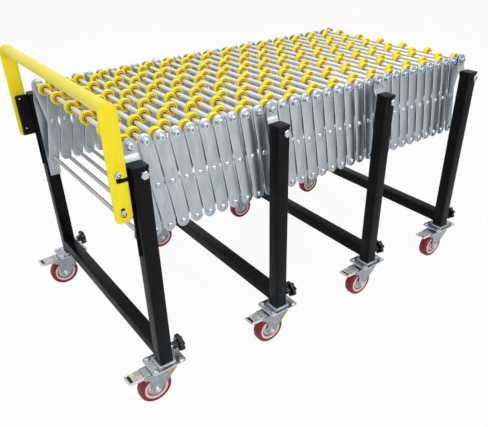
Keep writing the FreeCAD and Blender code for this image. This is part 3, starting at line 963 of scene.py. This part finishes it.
@dataclass
class EndStrips:
    """Joggled strips that hang the lattice's axles on the legs."""

    layout: Layout
    half_width: float = 0.018
    bend_drop: float = 0.018
    bend_run: float = 0.035
    length_drop: float = 0.312
    foot_cut: float = 0.003
    edge: float = 0.0007

    def rows(self) -> list[Triple]:
        """Height, distance from the middle and half width, from the round top to the square foot.

        Returns:
            One row of corners for each height.
        """
        top, near = self.layout.deck_z, self.layout.strip_y
        far = self.layout.leg_in_y - self.layout.strip_thickness
        rows = []
        for turn in (88, 70, 52, 34, 16):
            angle = math.radians(turn)
            rows.append((top + self.half_width * math.sin(angle), near, self.half_width * math.cos(angle)))
        rows.append((top, near, self.half_width))
        for share in (0, 0.12, 0.3, 0.5, 0.7, 0.88, 1):
            ease = share * share * (3 - 2 * share)
            drop = self.bend_drop + self.bend_run * share
            rows.append((top - drop, near + (far - near) * ease, self.half_width))
        foot, cut = top - self.length_drop, self.foot_cut
        return rows + [(foot + cut, far, self.half_width), (foot, far, self.half_width - cut)]

    def strip(self, x: float, side: Side) -> Mesh:
        """One strip, skinned over its rows.

        Args:
            x: X of the strip's middle.
            side: Near or far side.

        Returns:
            A closed mesh in its place.
        """
        shape = bmesh.new()
        depth = self.layout.strip_thickness
        corners = [[shape.verts.new((x + dx, side.value * (y + dy), z))
                    for dx, dy in ((-half, 0), (half, 0), (half, depth), (-half, depth))]
                   for z, y, half in self.rows()]
        for above, below in zip(corners, corners[1:]):
            for step in range(4):
                after = (step + 1) % 4
                shape.faces.new([above[step], above[after], below[after], below[step]])
        shape.faces.new(corners[0])
        shape.faces.new(corners[-1])
        bmesh.ops.recalc_face_normals(shape, faces=shape.faces)
        rim = [edge for edge in shape.edges if edge.calc_face_angle(0) > math.radians(60)]
        bmesh.ops.bevel(shape, geom=rim, offset=self.edge, segments=1, affect="EDGES")
        return closed_mesh(shape, ZINC_STRIP)

    def build(self) -> None:
        """Makes the eight strips as one piece of the base."""
        piece = Piece("end_strips_joggled")
        for index in self.layout.supports:
            piece.add(*(self.strip(self.layout.axle_x(index), side) for side in Side))
        piece.ride("base", "end_strips", slot="zinc_strip")


@dataclass
class Supports:
    """Square legs with their caps, low cross bars and the handle's brackets, all powder coated."""

    layout: Layout
    half: float = 0.020
    wall: float = 0.002
    corner: float = 0.0035
    foot_z: float = 0.1253
    top_z: float = 0.725
    cap_height: float = 0.008
    cap_overhang: float = 0.0015
    cap_edge: float = 0.0018
    bar_z: float = 0.1613
    bracket_x: Pair = (-0.6535, -0.6113)
    bracket_z: Pair = (0.595, 0.723)
    bracket_corner: float = 0.005
    tail_z: float = 0.485
    tail_width: float = 0.006

    def square(self, centre: Pair, over: float = 0.0, corner: float = 0.0) -> list[Pair]:
        """Outline of the square tube, larger or smaller by some, with its rolled corners."""
        half = self.half + over
        return box_about(centre, (half, half), self.corner + corner)

    def leg(self, centre: Pair) -> Piece:
        """Tube and cap of one leg.

        Args:
            centre: X and Y of the leg's middle.

        Returns:
            The two shells as a piece.
        """
        under_cap = self.top_z - self.cap_height
        tube = extruded(self.square(centre), (self.foot_z, under_cap), Axis.Z, BLACK_COAT,
                        [self.square(centre, -self.wall, -self.wall)], edge=0.0003)
        cap = extruded(self.square(centre, self.cap_overhang, 0.001), (under_cap, self.top_z), Axis.Z,
                       BLACK_COAT, edge=self.cap_edge)
        return Piece("leg").add(tube, cap)

    def cross_bar(self, x: float) -> Mesh:
        """Square tube between the two legs of a support."""
        ends = (-self.layout.leg_in_y, self.layout.leg_in_y)
        return extruded(self.square((x, self.bar_z)), ends, Axis.Y, BLACK_COAT, edge=0.0002)

    def bracket(self, side: Side) -> Mesh:
        """Plate that the handle's arm slides on, with a narrow tail down the leg.

        Args:
            side: Near or far side.

        Returns:
            A closed mesh in its place.
        """
        (left, right), (low, high) = self.bracket_x, self.bracket_z
        corner, neck, arm_y = self.bracket_corner, right - self.tail_width, self.layout.leg_y
        outline = arc((left + corner, high - corner), corner, 90, 180, 4)
        outline += arc((left + corner, low + corner), corner, 180, 270, 4)
        outline += [(neck, low), (neck, self.tail_z), (right, self.tail_z), (right, high)]
        ends = (side.value * arm_y, side.value * (arm_y - self.layout.bracket_thickness))
        return extruded(outline, ends, Axis.Y, BLACK_COAT, edge=0.0006)

    def build(self) -> None:
        """Makes the four supports as one piece of the base."""
        piece = Piece("supports_powder_coated")
        for index in self.layout.supports:
            piece.add(self.cross_bar(self.layout.leg(index, Side.NEAR)[0]))
            piece.add(*(self.leg(self.layout.leg(index, side)).mesh() for side in Side))
        piece.add(*(self.bracket(side) for side in Side))
        piece.ride("base", "leg_frames", slot="leg_powder_coat")


@dataclass
class Handle:
    """Yellow handle: a round tube between two flat arms with locking slots."""

    layout: Layout
    half_width: float = 0.022
    top_z: float = 0.877
    bottom_z: float = 0.592
    tube_radius: float = 0.0160
    tube_overlap: float = 0.0024
    corner: float = 0.014
    slot_radius: float = 0.0055
    slot_corner: float = 0.003
    mouth_z: float = 0.697
    lower_slot_z: Pair = (0.610, 0.625)

    def arm(self, side: Side) -> Mesh:
        """Flat arm: round top, round lower corners, L-shaped slot open to the leg and a short slot below.

        Args:
            side: Near or far side.

        Returns:
            A closed mesh in its place.
        """
        x, half, corner, slot, turn = (self.layout.handle_x, self.half_width, self.corner, self.slot_radius,
                                       self.slot_corner)
        right, inner, lip = x + half, x + slot, self.mouth_z + slot
        outline = arc((x, self.top_z - half), half, 0, 180, 16)
        outline += arc((x - half + corner, self.bottom_z + corner), corner, 180, 270, 5)
        outline += arc((right - corner, self.bottom_z + corner), corner, 270, 360, 5)
        outline += [(right, self.mouth_z - slot)]
        outline += arc((x, self.mouth_z), slot, 270, 180, 5)
        outline += arc((x, self.layout.upper_bolt_z), slot, 180, 0, 8)
        outline += [(inner, lip + turn)]
        outline += arc((inner + turn, lip + turn), turn, 180, 270, 3)
        outline += [(right, lip)]
        lower = long_hole((x, self.lower_slot_z[0]), (x, self.lower_slot_z[1]), slot)
        face = self.layout.leg_y
        ends = (side.value * face, side.value * (face + self.layout.arm_thickness))
        return extruded(outline, ends, Axis.Y, YELLOW_COAT, [lower], edge=0.0008)

    def tube(self) -> Mesh:
        """Round tube that ends within the arms.

        Returns:
            A closed mesh in its place.
        """
        reach = self.layout.leg_y + self.tube_overlap
        seat = Seat((self.layout.handle_x, 0, self.top_z - self.tube_radius))
        # Painted light: the tube takes the handle's coat painted paler, as if lit from above.
        return seat.pin(self.tube_radius, reach, -reach, YELLOW_TUBE_PAINTED_PALER, 32)

    def build(self) -> None:
        """Makes the handle as one piece of the base."""
        Piece("handle_bar_and_arms").add(self.tube(), self.arm(Side.NEAR), self.arm(Side.FAR)).ride(
            "base", "handle", slot="handle_paint")


@dataclass
class Fasteners:
    """Hexagon bolts and lock nuts of the strips, the legs and the handle."""

    layout: Layout
    head_radius: float = 0.0075
    head_height: float = 0.005
    head_edge: float = 0.0007
    shank_radius: float = 0.004
    strip_drops: Pair = (0.257, 0.286)
    leg_drop: float = 0.050
    leg_head_radius: float = 0.0108
    leg_head_heights: Pair = (0.0034, 0.0098)
    spacer_radius: float = 0.0114
    lower_bolt_z: float = 0.617
    nut_radius: float = 0.0072
    nut_height: float = 0.0048

    def strip_bolt(self, seat: Seat, turn: float) -> Mesh:
        """Hexagon head on its washer, inside a leg.

        Args:
            seat: Spot on the face that it stands on, with the way that it points.
            turn: Angle in degrees by which its hexagon is turned.

        Returns:
            The closed shells as one mesh in its place.
        """
        washer = seat.washer(self.head_radius + 0.0022, 0.0012, ZINC_HEAD)
        head = seat.hexagon(self.head_radius, 0, self.head_height, ZINC_HEAD, self.head_edge, turn)
        return Piece("hexagon").add(washer, head).mesh()

    def leg_bolt(self, seat: Seat, turn: float) -> Mesh:
        """Hexagon head near a leg's top, on a black spacer.

        Args:
            seat: Spot on the face that it stands on, with the way that it points.
            turn: Angle in degrees by which its hexagon is turned.

        Returns:
            The closed shells as one mesh in its place.
        """
        inside, height = self.spacer_radius - 0.0006, 0.0036
        spacer = seat.turned([(0, 0), (inside, 0), (self.spacer_radius, 0.0008), (self.spacer_radius, 0.0030),
                              (inside, height), (0, height)], BLACK_PHENOLIC_AND_SLOT_SHADE, 22)
        head = seat.hexagon(self.leg_head_radius, *self.leg_head_heights, ZINC_HEAD, 0.0020, turn)
        return Piece("leg bolt").add(spacer, head).mesh()

    def lock_nut(self, seat: Seat) -> Mesh:
        """Lock nut on a passivated washer: hexagon, pressed collar, dark nylon ring and the bolt's end.

        Args:
            seat: Spot on the face that it stands on, with the way that it points.

        Returns:
            The closed shells as one mesh in its place.
        """
        collar = [(0, 0.0046), (0.0061, 0.0046), (0.0057, 0.0066), (0.0048, 0.0072), (0.0044, 0.0058),
                  (0, 0.0058)]
        end = [(0, 0.0064), (0.0030, 0.0064), (0.0030, 0.0070), (0.0022, 0.0076), (0, 0.0076)]
        return Piece("lock nut").add(
            seat.washer(0.0084, 0.0012, YELLOW_ZINC, 22),
            seat.hexagon(self.nut_radius, 0, self.nut_height, ZINC_HEAD, self.head_edge, 18),
            seat.turned(collar, WHITE_ZINC_AND_EDGE_HIGHLIGHT, 22),
            seat.pin(0.0044, 0.0056, 0.0066, BLACK_PHENOLIC_AND_SLOT_SHADE, 18),
            seat.turned(end, ZINC_HEAD, 14)).mesh()

    def carriage_head(self, seat: Seat) -> Mesh:
        """Low round head of a handle bolt, coated over apart from a small bare zinc crown painted in as a
        glint.

        Args:
            seat: Spot on the face that it stands on, with the way that it points.

        Returns:
            The closed shells as one mesh in its place.
        """
        coated = [(0, 0), (0.0070, 0), (0.0066, 0.0014), (0.0040, 0.0028), (0, 0.0030)]
        # Painted highlight: the bright zinc crown stands in for the glint on the head.
        crown = [(0, 0.0029), (0.0028, 0.0029), (0.0018, 0.0034), (0, 0.0036)]
        return Piece("carriage head").add(seat.turned(coated, BLACK_COAT, 20),
                                          seat.turned(crown, ZINC_HEAD, 14)).mesh()

    def handle_bolt(self, z: float, side: Side) -> Mesh:
        """Bolt through the bracket and the handle's arm, with its head inside and its lock nut outside.

        Args:
            z: Height of the bolt.
            side: Near or far side.

        Returns:
            The closed shells as one mesh in its place.
        """
        plan, sign = self.layout, side.value
        inside, outside = (sign * (plan.leg_y + reach)
                           for reach in (-plan.bracket_thickness, plan.arm_thickness))
        low, high = sorted((inside, outside))
        shank = Seat((plan.handle_x, low, z)).pin(self.shank_radius, 0, high - low, ZINC_HEAD, 16)
        nut = self.lock_nut(Seat((plan.handle_x, outside, z), way=sign))
        head = self.carriage_head(Seat((plan.handle_x, inside, z), way=-sign))
        return Piece("handle bolt").add(shank, nut, head).mesh()

    def build(self) -> None:
        """Makes all the bolts as one piece of the base."""
        plan = self.layout
        piece = Piece("hexagon_bolts_and_nuts")
        for side in Side:
            sign = side.value
            strip_face = sign * (plan.leg_in_y - plan.strip_thickness)
            for number, index in enumerate(plan.supports):
                x = plan.axle_x(index)
                for drop in self.strip_drops:
                    face = Seat((x, strip_face, plan.deck_z - drop), way=-sign)
                    piece.add(self.strip_bolt(face, 20 * number + 5))
                face = Seat((x, sign * plan.leg_out_y, plan.deck_z - self.leg_drop), way=sign)
                piece.add(self.leg_bolt(face, 12 * number + 10))
            for z in (plan.upper_bolt_z, self.lower_bolt_z):
                piece.add(self.handle_bolt(z, side))
        piece.ride("base", "bolts", slot="bolt_zinc")


@dataclass
class Knobs:
    """Star knobs that clamp the stems, each with its hub and stud."""

    layout: Layout
    row: Row
    height_z: float = 0.1603
    radius: float = 0.026
    lobes: int = 7
    lobe_steps: int = 8
    flute: float = 0.00576
    hub_radius: float = 0.011
    stud_radius: float = 0.004
    nut_radius: float = 0.0068
    wall_x: float = 0.018
    hub_x: float = 0.032
    star_x: float = 0.046
    end_x: float = 0.061
    edge: float = 0.0028

    def knob(self, side: Side) -> Mesh:
        """The knob of the first support on one side.

        Args:
            side: Near or far side.

        Returns:
            The knob with hub, stud and nut, marked for its two finishes.
        """
        x, y = self.layout.leg(0, side)
        z = self.height_z
        outline: list[Pair] = []
        for step in range(self.lobes * self.lobe_steps):
            turn = 2 * math.pi * step / (self.lobes * self.lobe_steps)
            reach = self.radius - self.flute * (1 - math.cos(self.lobes * turn)) / 2
            outline.append((y + reach * math.cos(turn), z + reach * math.sin(turn)))
        star = extruded(outline, (x + self.star_x, x + self.end_x), Axis.X, BLACK_PHENOLIC_AND_SLOT_SHADE, edge=self.edge)
        wall, hub, boss = (Seat((x + along, y, z), Axis.X)
                           for along in (self.wall_x, self.hub_x, self.end_x - 0.0016))
        neck = [(0, 0), (self.hub_radius, 0), (self.hub_radius + 0.001, self.star_x - self.hub_x),
                (0, 0.0145)]
        rings = [(0, 0), (0.0135, 0), (0.012, 0.0012), (0.008, 0.0014), (0, 0.0006)]
        stud = [(0, 0), (self.stud_radius, 0), (self.stud_radius, self.hub_x - self.wall_x), (0, 0.0142)]
        dark = (star, hub.turned(neck, BLACK_PHENOLIC_AND_SLOT_SHADE, 20), boss.turned(rings, BLACK_PHENOLIC_AND_SLOT_SHADE, 20))
        bright = (wall.turned(stud, ZINC_HEAD, 14),
                  wall.hexagon(self.nut_radius, 0.0022, 0.0072, ZINC_HEAD, 0.0006, 10))
        return Piece("knob").add(*map(unmarked, dark), *map(marked, bright)).mesh()

    def build(self) -> None:
        """Makes the eight knobs as one piece of the base."""
        piece = Piece("star_knobs_moulded")
        plan = self.layout
        for side in Side:
            piece.add(self.row.of(self.knob(side), len(plan.supports), plan.support_step, BLACK_PHENOLIC_AND_SLOT_SHADE,
                                  ZINC_HEAD))
        piece.ride("base", "knobs", slot="knob_plastic")


@dataclass
class Stems:
    """Square stems inside the legs, each welded on a caster's top plate."""

    layout: Layout
    half: float = 0.0177
    wall: float = 0.0025
    length: float = 0.300
    plate_half: Pair = (0.0525, 0.040)
    plate_thickness: float = 0.003
    plate_corner: float = 0.010
    bolt_place: Pair = (0.040, 0.030)
    bolt_radius: float = 0.008
    bolt_height: float = 0.005
    race_radius: float = 0.024
    race_height: float = 0.004
    collar_bore: float = 0.0203
    collar_half: float = 0.0265
    collar_height: float = 0.0034

    def tube(self, centre: Pair, height: float, sizes: Pair, corners: Pair, finish: Finish,
             edge: float) -> Mesh:
        """Upright square tube on the plate, from its half widths and corners outside and in the bore.

        Args:
            centre: X and Y of its middle.
            height: How high it stands.
            sizes: Half widths, outside and in the bore.
            corners: Radii of the corners, outside and in the bore.
            finish: Finish of its faces.
            edge: Width of its broken edges.

        Returns:
            A closed mesh in its place.
        """
        outline, hole = (box_about(centre, (size, size), corner) for size, corner in zip(sizes, corners))
        low = self.layout.plate_z
        return extruded(outline, (low, low + height), Axis.Z, finish, [hole], edge)

    def foot(self, centre: Pair) -> Mesh:
        """Stem, plate, corner bolts and upper race of one leg.

        Args:
            centre: X and Y of the leg's middle.

        Returns:
            The closed shells as one mesh in its place.
        """
        x, y = centre
        z = self.layout.plate_z
        low = z - self.plate_thickness
        stem = self.tube(centre, self.length, (self.half, self.half - self.wall), (0.003, 0.001), ZINC_STRIP,
                         0.0002)
        plate = extruded(box_about(centre, self.plate_half, self.plate_corner, 5), (low, z), Axis.Z,
                         ZINC_STRIP, edge=0.0007)
        height = self.race_height
        race = Seat((x, y, low - height), Axis.Z).turned(
            [(0, 0), (self.race_radius, 0), (self.race_radius, 0.0026), (self.race_radius - 0.002, height),
             (0, height)], ZINC_HEAD, 32)
        collar = self.tube(centre, self.collar_height, (self.collar_half, self.collar_bore), (0.003, 0.0015),
                           WHITE_ZINC_AND_EDGE_HIGHLIGHT, 0.0008)
        # Painted highlight: the plate's sheared rim takes the lighter white zinc.
        piece = Piece("foot").add(stem, rimmed(plate, WHITE_ZINC_AND_EDGE_HIGHLIGHT), race, collar)
        for along in (-1, 1):
            for across in (-1, 1):
                seat = Seat((x + along * self.bolt_place[0], y + across * self.bolt_place[1], z), Axis.Z)
                head = seat.hexagon(self.bolt_radius, 0, self.bolt_height, WHITE_ZINC_AND_EDGE_HIGHLIGHT, 0.0011, 14 * along + 9)
                piece.add(head, seat.washer(0.0095, 0.001, ZINC_HEAD, 18))
        return piece.mesh()

    def build(self) -> None:
        """Makes the stems of every support."""
        for number, index in enumerate(self.layout.supports, 1):
            Piece("stems_and_plates_%d" % number).add(
                *(self.foot(self.layout.leg(index, side)) for side in Side)).ride(
                "stems_%d" % number, "leg_stems_%d" % number, slot="caster_zinc")


@dataclass
class Casters:
    """Swivel forks with brake pedals, and their wheels."""

    layout: Layout
    wheel_z: float = 0.050
    wheel_radius: float = 0.050
    half_width: float = 0.016
    trail: float = 0.040
    bore: float = 0.00505
    bolt_radius: float = 0.005
    crown_low: float = 0.1112
    crown_high: float = 0.1137
    inside: float = 0.0195
    plate: float = 0.0025
    boss: float = 0.015
    front: float = 0.028
    rear: float = 0.073
    arm_depth: float = 0.015
    front_drop: float = 0.012
    pedal_reach: float = 0.120
    pedal_half: float = 0.019
    ribs: int = 3
    rib_pitch: float = 0.0052

    def side_outline(self) -> list[Pair]:
        """Side plate about the swivel axis: straight front, boss round the bolt, hollow behind the wheel.

        Returns:
            Points in X and Z.
        """
        arm_low = self.crown_high - self.arm_depth
        hollow = self.rear - self.trail - self.boss
        outline = [(self.front, self.crown_high), (self.front - 0.001, self.crown_low - self.front_drop)]
        outline += arc((-self.trail, self.wheel_z), self.boss, -32, -180, 12)
        outline += arc((-self.trail - self.boss - hollow, arm_low - hollow), hollow, 0, 90, 8)
        return outline + [(-self.rear, self.crown_high)]

    def fork(self) -> Mesh:
        """Fork about its swivel axis: side plates, crown, race, bolt with its washers and nuts, and pedal.

        Returns:
            The fork, placed for its finish with a patch.
        """
        piece = Piece("fork")
        outer = self.inside + self.plate
        for sign in (-1, 1):
            inner_face, outer_face = (Seat((-self.trail, sign * y, self.wheel_z), way=way)
                                      for y, way in ((self.inside, -sign), (outer, sign)))
            ends = (sign * self.inside, sign * outer)
            piece.add(extruded(self.side_outline(), ends, Axis.Y, ZINC_FORK, edge=0.0006),
                      inner_face.washer(0.010, 0.003, ZINC_HEAD),
                      outer_face.washer(0.0098, 0.001, ZINC_HEAD),
                      outer_face.hexagon(0.008, 0, 0.006, WHITE_ZINC_AND_EDGE_HIGHLIGHT, 0.0012, 20))
        crown = extruded(rounded_box((-self.rear, -outer), (self.front, outer), 0.006),
                         (self.crown_low, self.crown_high), Axis.Z, ZINC_FORK, edge=0.0008)
        rings = [(0, 0), (0.0225, 0), (0.024, 0.0015), (0.024, 0.0032), (0.0215, 0.004), (0, 0.004)]
        race = Seat((0, 0, self.crown_high), Axis.Z).turned(rings, ZINC_HEAD, 32)
        bolt = Seat((-self.trail, -self.inside, self.wheel_z)).pin(
            self.bolt_radius, 0, 2 * self.inside, ZINC_HEAD, 16)
        return placed(piece.add(crown, race, bolt, self.pedal()).mesh())

    def pedal(self) -> Mesh:
        """Stamped brake pedal: ribbed root, tread with a dark sheet under its slot as painted shade, swept
        flanges, rounded lip.

        Returns:
            The pedal about the swivel axis.
        """
        piece = Piece("pedal")
        half, low, high = self.pedal_half, self.crown_low, self.crown_high
        tip, root = -self.pedal_reach, -self.rear
        slot = rounded_box((tip + 0.0075, -0.0145), (tip + 0.0160, 0.0145), 0.002)
        # Painted shade: a black sheet just under the tread darkens the slot.
        slot_shade = rounded_box((tip + 0.0060, -0.0160), (tip + 0.0175, 0.0160), 0.002)
        tread = extruded(rounded_box((tip, -half), (root + 0.002, half), 0.005), (low, high), Axis.Z,
                         YELLOW_ZINC, [slot], edge=0.0006)
        # Painted highlight: the tread's sheared rim takes the lighter white zinc.
        piece.add(rimmed(tread, WHITE_ZINC_AND_EDGE_HIGHLIGHT),
                  extruded(slot_shade, (low - 0.0035, low - 0.0004), Axis.Z, BLACK_PHENOLIC_AND_SLOT_SHADE, edge=0.0005))
        flange = [(root + 0.004, high - 0.0005), (tip + 0.003, high - 0.0005)]
        flange += arc((tip + 0.006, high - 0.0035), 0.003, 180, 270, 3)
        flange += [(tip + 0.020, high - 0.0085), (root - 0.006, high - 0.009), (root + 0.004, high - 0.0145)]
        for sign in (-1, 1):
            bead = [(x, sign * (half - y)) for x, y in ((root + 0.002, 0.0022), (tip + 0.004, 0.0022),
                                                        (tip + 0.004, 0.0004), (root + 0.002, 0.0004))]
            ends = (sign * half, sign * (half - self.plate))
            piece.add(extruded(flange, ends, Axis.Y, WHITE_ZINC_AND_EDGE_HIGHLIGHT, edge=0.0006),
                      extruded(bead, (high - 0.0004, high + 0.0016), Axis.Z, WHITE_ZINC_AND_EDGE_HIGHLIGHT, edge=0.0005))
        for step in range(self.ribs):
            x = root - 0.0046 - self.rib_pitch * step
            rib = [(x + dx, high + dz) for dx, dz in ((0, -0.0004), (0.0008, 0.0022), (0.0026, 0.0022),
                                                      (0.0034, -0.0004))]
            piece.add(extruded(rib, (0.0026 - half, half - 0.0026), Axis.Y, WHITE_ZINC_AND_EDGE_HIGHLIGHT, edge=0.0004))
        lip = [(tip, high - 0.001), (tip + 0.0026, high - 0.001), (tip + 0.0026, high + 0.005),
               (tip, high + 0.005)]
        return piece.add(extruded(lip, (0.004 - half, half - 0.004), Axis.Y, WHITE_ZINC_AND_EDGE_HIGHLIGHT, edge=0.0009)).mesh()

    def wheel(self) -> Mesh:
        """Wheel about its axle: crowned tyre, off-white core, a dark ring of painted shade in the gap, and a
        zinc hub disc set back.

        Returns:
            The wheel about the middle of its axle.
        """
        half = self.half_width
        tyre = [(0.0375, half - 0.0010), (0.0400, half), (0.0440, half - 0.0004), (0.0478, half - 0.0025),
                (0.0495, half - 0.0060), (self.wheel_radius, half - 0.0100)]
        core = [(0.0285, half - 0.0035), (0.0300, half - 0.0008), (0.0360, half - 0.0006),
                (0.0375, half - 0.0016)]
        hub = [(self.bore, half - 0.0002), (0.0125, half - 0.0004), (0.0150, half - 0.0030),
               (0.0240, half - 0.0032), (0.0265, half - 0.0045), (0.0290, half - 0.0090)]
        depth = half - 0.0040
        gap_shade = [(0.0258, -depth), (0.0292, -depth), (0.0292, depth), (0.0258, depth)]
        rings = ((mirrored(tyre), RED_TYRE, 48), (mirrored(core), WHEEL_CORE, 40),
                 (mirrored(hub), DRAWN_ROD, 32), (gap_shade, HUB_AND_GAP_SHADE, 32))
        return Piece("caster wheel").add(*(Seat().turned(*details, bored=True) for details in rings)).mesh()

    def build(self) -> None:
        """Makes eight forks and eight wheels, each on its own body."""
        fork, wheel = self.fork(), self.wheel()
        for number, index in enumerate(self.layout.supports, 1):
            for side in Side:
                name = "%d_%s" % (number, side.name.lower())
                x, y = self.layout.leg(index, side)
                Piece("fork_with_pedal_" + name).add(moved(fork, x, y)).ride(
                    "fork_" + name, "caster_fork_" + name, slot="caster_zinc")
                Piece("caster_tyre_" + name).add(moved(wheel, x - self.trail, y, self.wheel_z)).ride(
                    "caster_" + name, "caster_wheel_" + name, slot="tyre_red")


# Studio


@dataclass
class Studio:
    """Pale floor, soft light and a camera at the photograph's viewing angle."""

    place: Triple = (-1.0417, -1.4198, 1.2078)
    yaw: float = 35.663
    pitch: float = 31.871
    roll: float = 1.294
    lens: float = 39.49
    shift: Pair = (-0.0098, 0.0580)
    floor_half: float = 9.0
    floor_glow: float = 0.93
    mirrored_sky: float = 0.85
    sky_light: float = 0.47

    def floor(self) -> None:
        """Lays a white floor that shows the soft shadow and fades into the background."""
        mesh = bpy.data.meshes.new("floor")
        half = self.floor_half
        corners = [(-half, -half, 0), (half, -half, 0), (half, half, 0), (-half, half, 0)]
        mesh.from_pydata(corners, [], [(0, 1, 2, 3)])
        floor = linked("floor", mesh)
        material = bpy.data.materials.new("white studio floor")
        material.use_nodes = True
        tree = material.node_tree
        tree.nodes.clear()
        matt = add_node(tree, "ShaderNodeBsdfDiffuse", {"Color": linear("#F7F7F7")})
        white = add_node(tree, "ShaderNodeEmission", {"Color": (1, 1, 1, 1), "Strength": 1.0})
        path = add_node(tree, "ShaderNodeLightPath")
        share = add_node(tree, "ShaderNodeMath", {0: path.outputs["Is Camera Ray"], 1: self.floor_glow},
                         operation="MULTIPLY")
        mixed = add_node(tree, "ShaderNodeMixShader", {
            0: share.outputs[0], 1: matt.outputs["BSDF"], 2: white.outputs["Emission"]})
        add_node(tree, "ShaderNodeOutputMaterial", {"Surface": mixed.outputs["Shader"]})
        mesh.materials.append(material)

    def lamp(self, name: str, place: Triple, target: Triple, size: float, watts: float) -> None:
        """Adds a square soft lamp that faces a target.

        Args:
            name: Name of the lamp.
            place: Where it stands.
            target: Point that it faces.
            size: Length of its side.
            watts: Its power.
        """
        data = bpy.data.lights.new(name, "AREA")
        data.shape = "SQUARE"
        data.size = size
        data.energy = watts
        lamp = linked(name, data)
        lamp.location = place
        lamp.rotation_euler = (Vector(target) - Vector(place)).to_track_quat("-Z", "Y").to_euler()

    def sky(self) -> None:
        """Sets white surroundings, dimmer as light than they look to the camera and in reflections."""
        world = bpy.data.worlds.new("white studio")
        world.use_nodes = True
        tree = world.node_tree
        tree.nodes.clear()
        path = add_node(tree, "ShaderNodeLightPath").outputs
        glossy = add_node(tree, "ShaderNodeMath", {0: path["Is Glossy Ray"], 1: self.mirrored_sky},
                          operation="MULTIPLY")
        level = path["Is Camera Ray"]
        for other in (path["Is Transmission Ray"], glossy.outputs[0], self.sky_light):
            level = add_node(tree, "ShaderNodeMath", {0: level, 1: other}, operation="MAXIMUM").outputs[0]
        light = add_node(tree, "ShaderNodeBackground", {"Color": (1, 1, 1, 1), "Strength": level})
        add_node(tree, "ShaderNodeOutputWorld", {"Surface": light.outputs["Background"]})
        bpy.context.scene.world = world

    def camera(self) -> None:
        """Stands the camera where the photograph was taken from."""
        data = bpy.data.cameras.new("camera")
        data.sensor_width = 36.0
        data.lens = self.lens
        data.shift_x, data.shift_y = self.shift
        camera = linked("camera", data)
        yaw, pitch, roll = (math.radians(a) for a in (self.yaw, self.pitch, self.roll))
        ahead = Vector((math.sin(yaw) * math.cos(pitch), math.cos(yaw) * math.cos(pitch), -math.sin(pitch)))
        level = Vector((math.cos(yaw), -math.sin(yaw), 0))
        down = ahead.cross(level)
        right = math.cos(roll) * level + math.sin(roll) * down
        below = -math.sin(roll) * level + math.cos(roll) * down
        turn = Matrix((right, -below, -ahead)).transposed()
        camera.matrix_world = Matrix.Translation(self.place) @ turn.to_4x4()
        bpy.context.scene.camera = camera

    def build(self) -> None:
        """Sets the stage."""
        self.floor()
        self.sky()
        self.lamp("key", (-2.2, -2.6, 3.2), (0, 0, 0.5), size=2.4, watts=52)
        self.lamp("side", (0.9, -3.1, 1.55), (0, 0, 0.5), size=1.8, watts=26)
        self.lamp("top", (0.2, 0.6, 3.4), (0, 0, 0.6), size=2.6, watts=30)
        self.camera()
        bpy.context.scene.view_settings.view_transform = "Standard"


def main() -> None:
    """Builds the conveyor and its studio."""
    logging.basicConfig(level=logging.INFO, format="%(name)s %(message)s")
    plan, row = Layout(), Row()
    for assembly in (SkateWheels(plan, row), Lattice(plan, row), EndStrips(plan), Supports(plan),
                     Handle(plan), Fasteners(plan), Knobs(plan, row), Stems(plan), Casters(plan)):
        assembly.build()
    Studio().build()


if __name__ == "__main__":
    main()
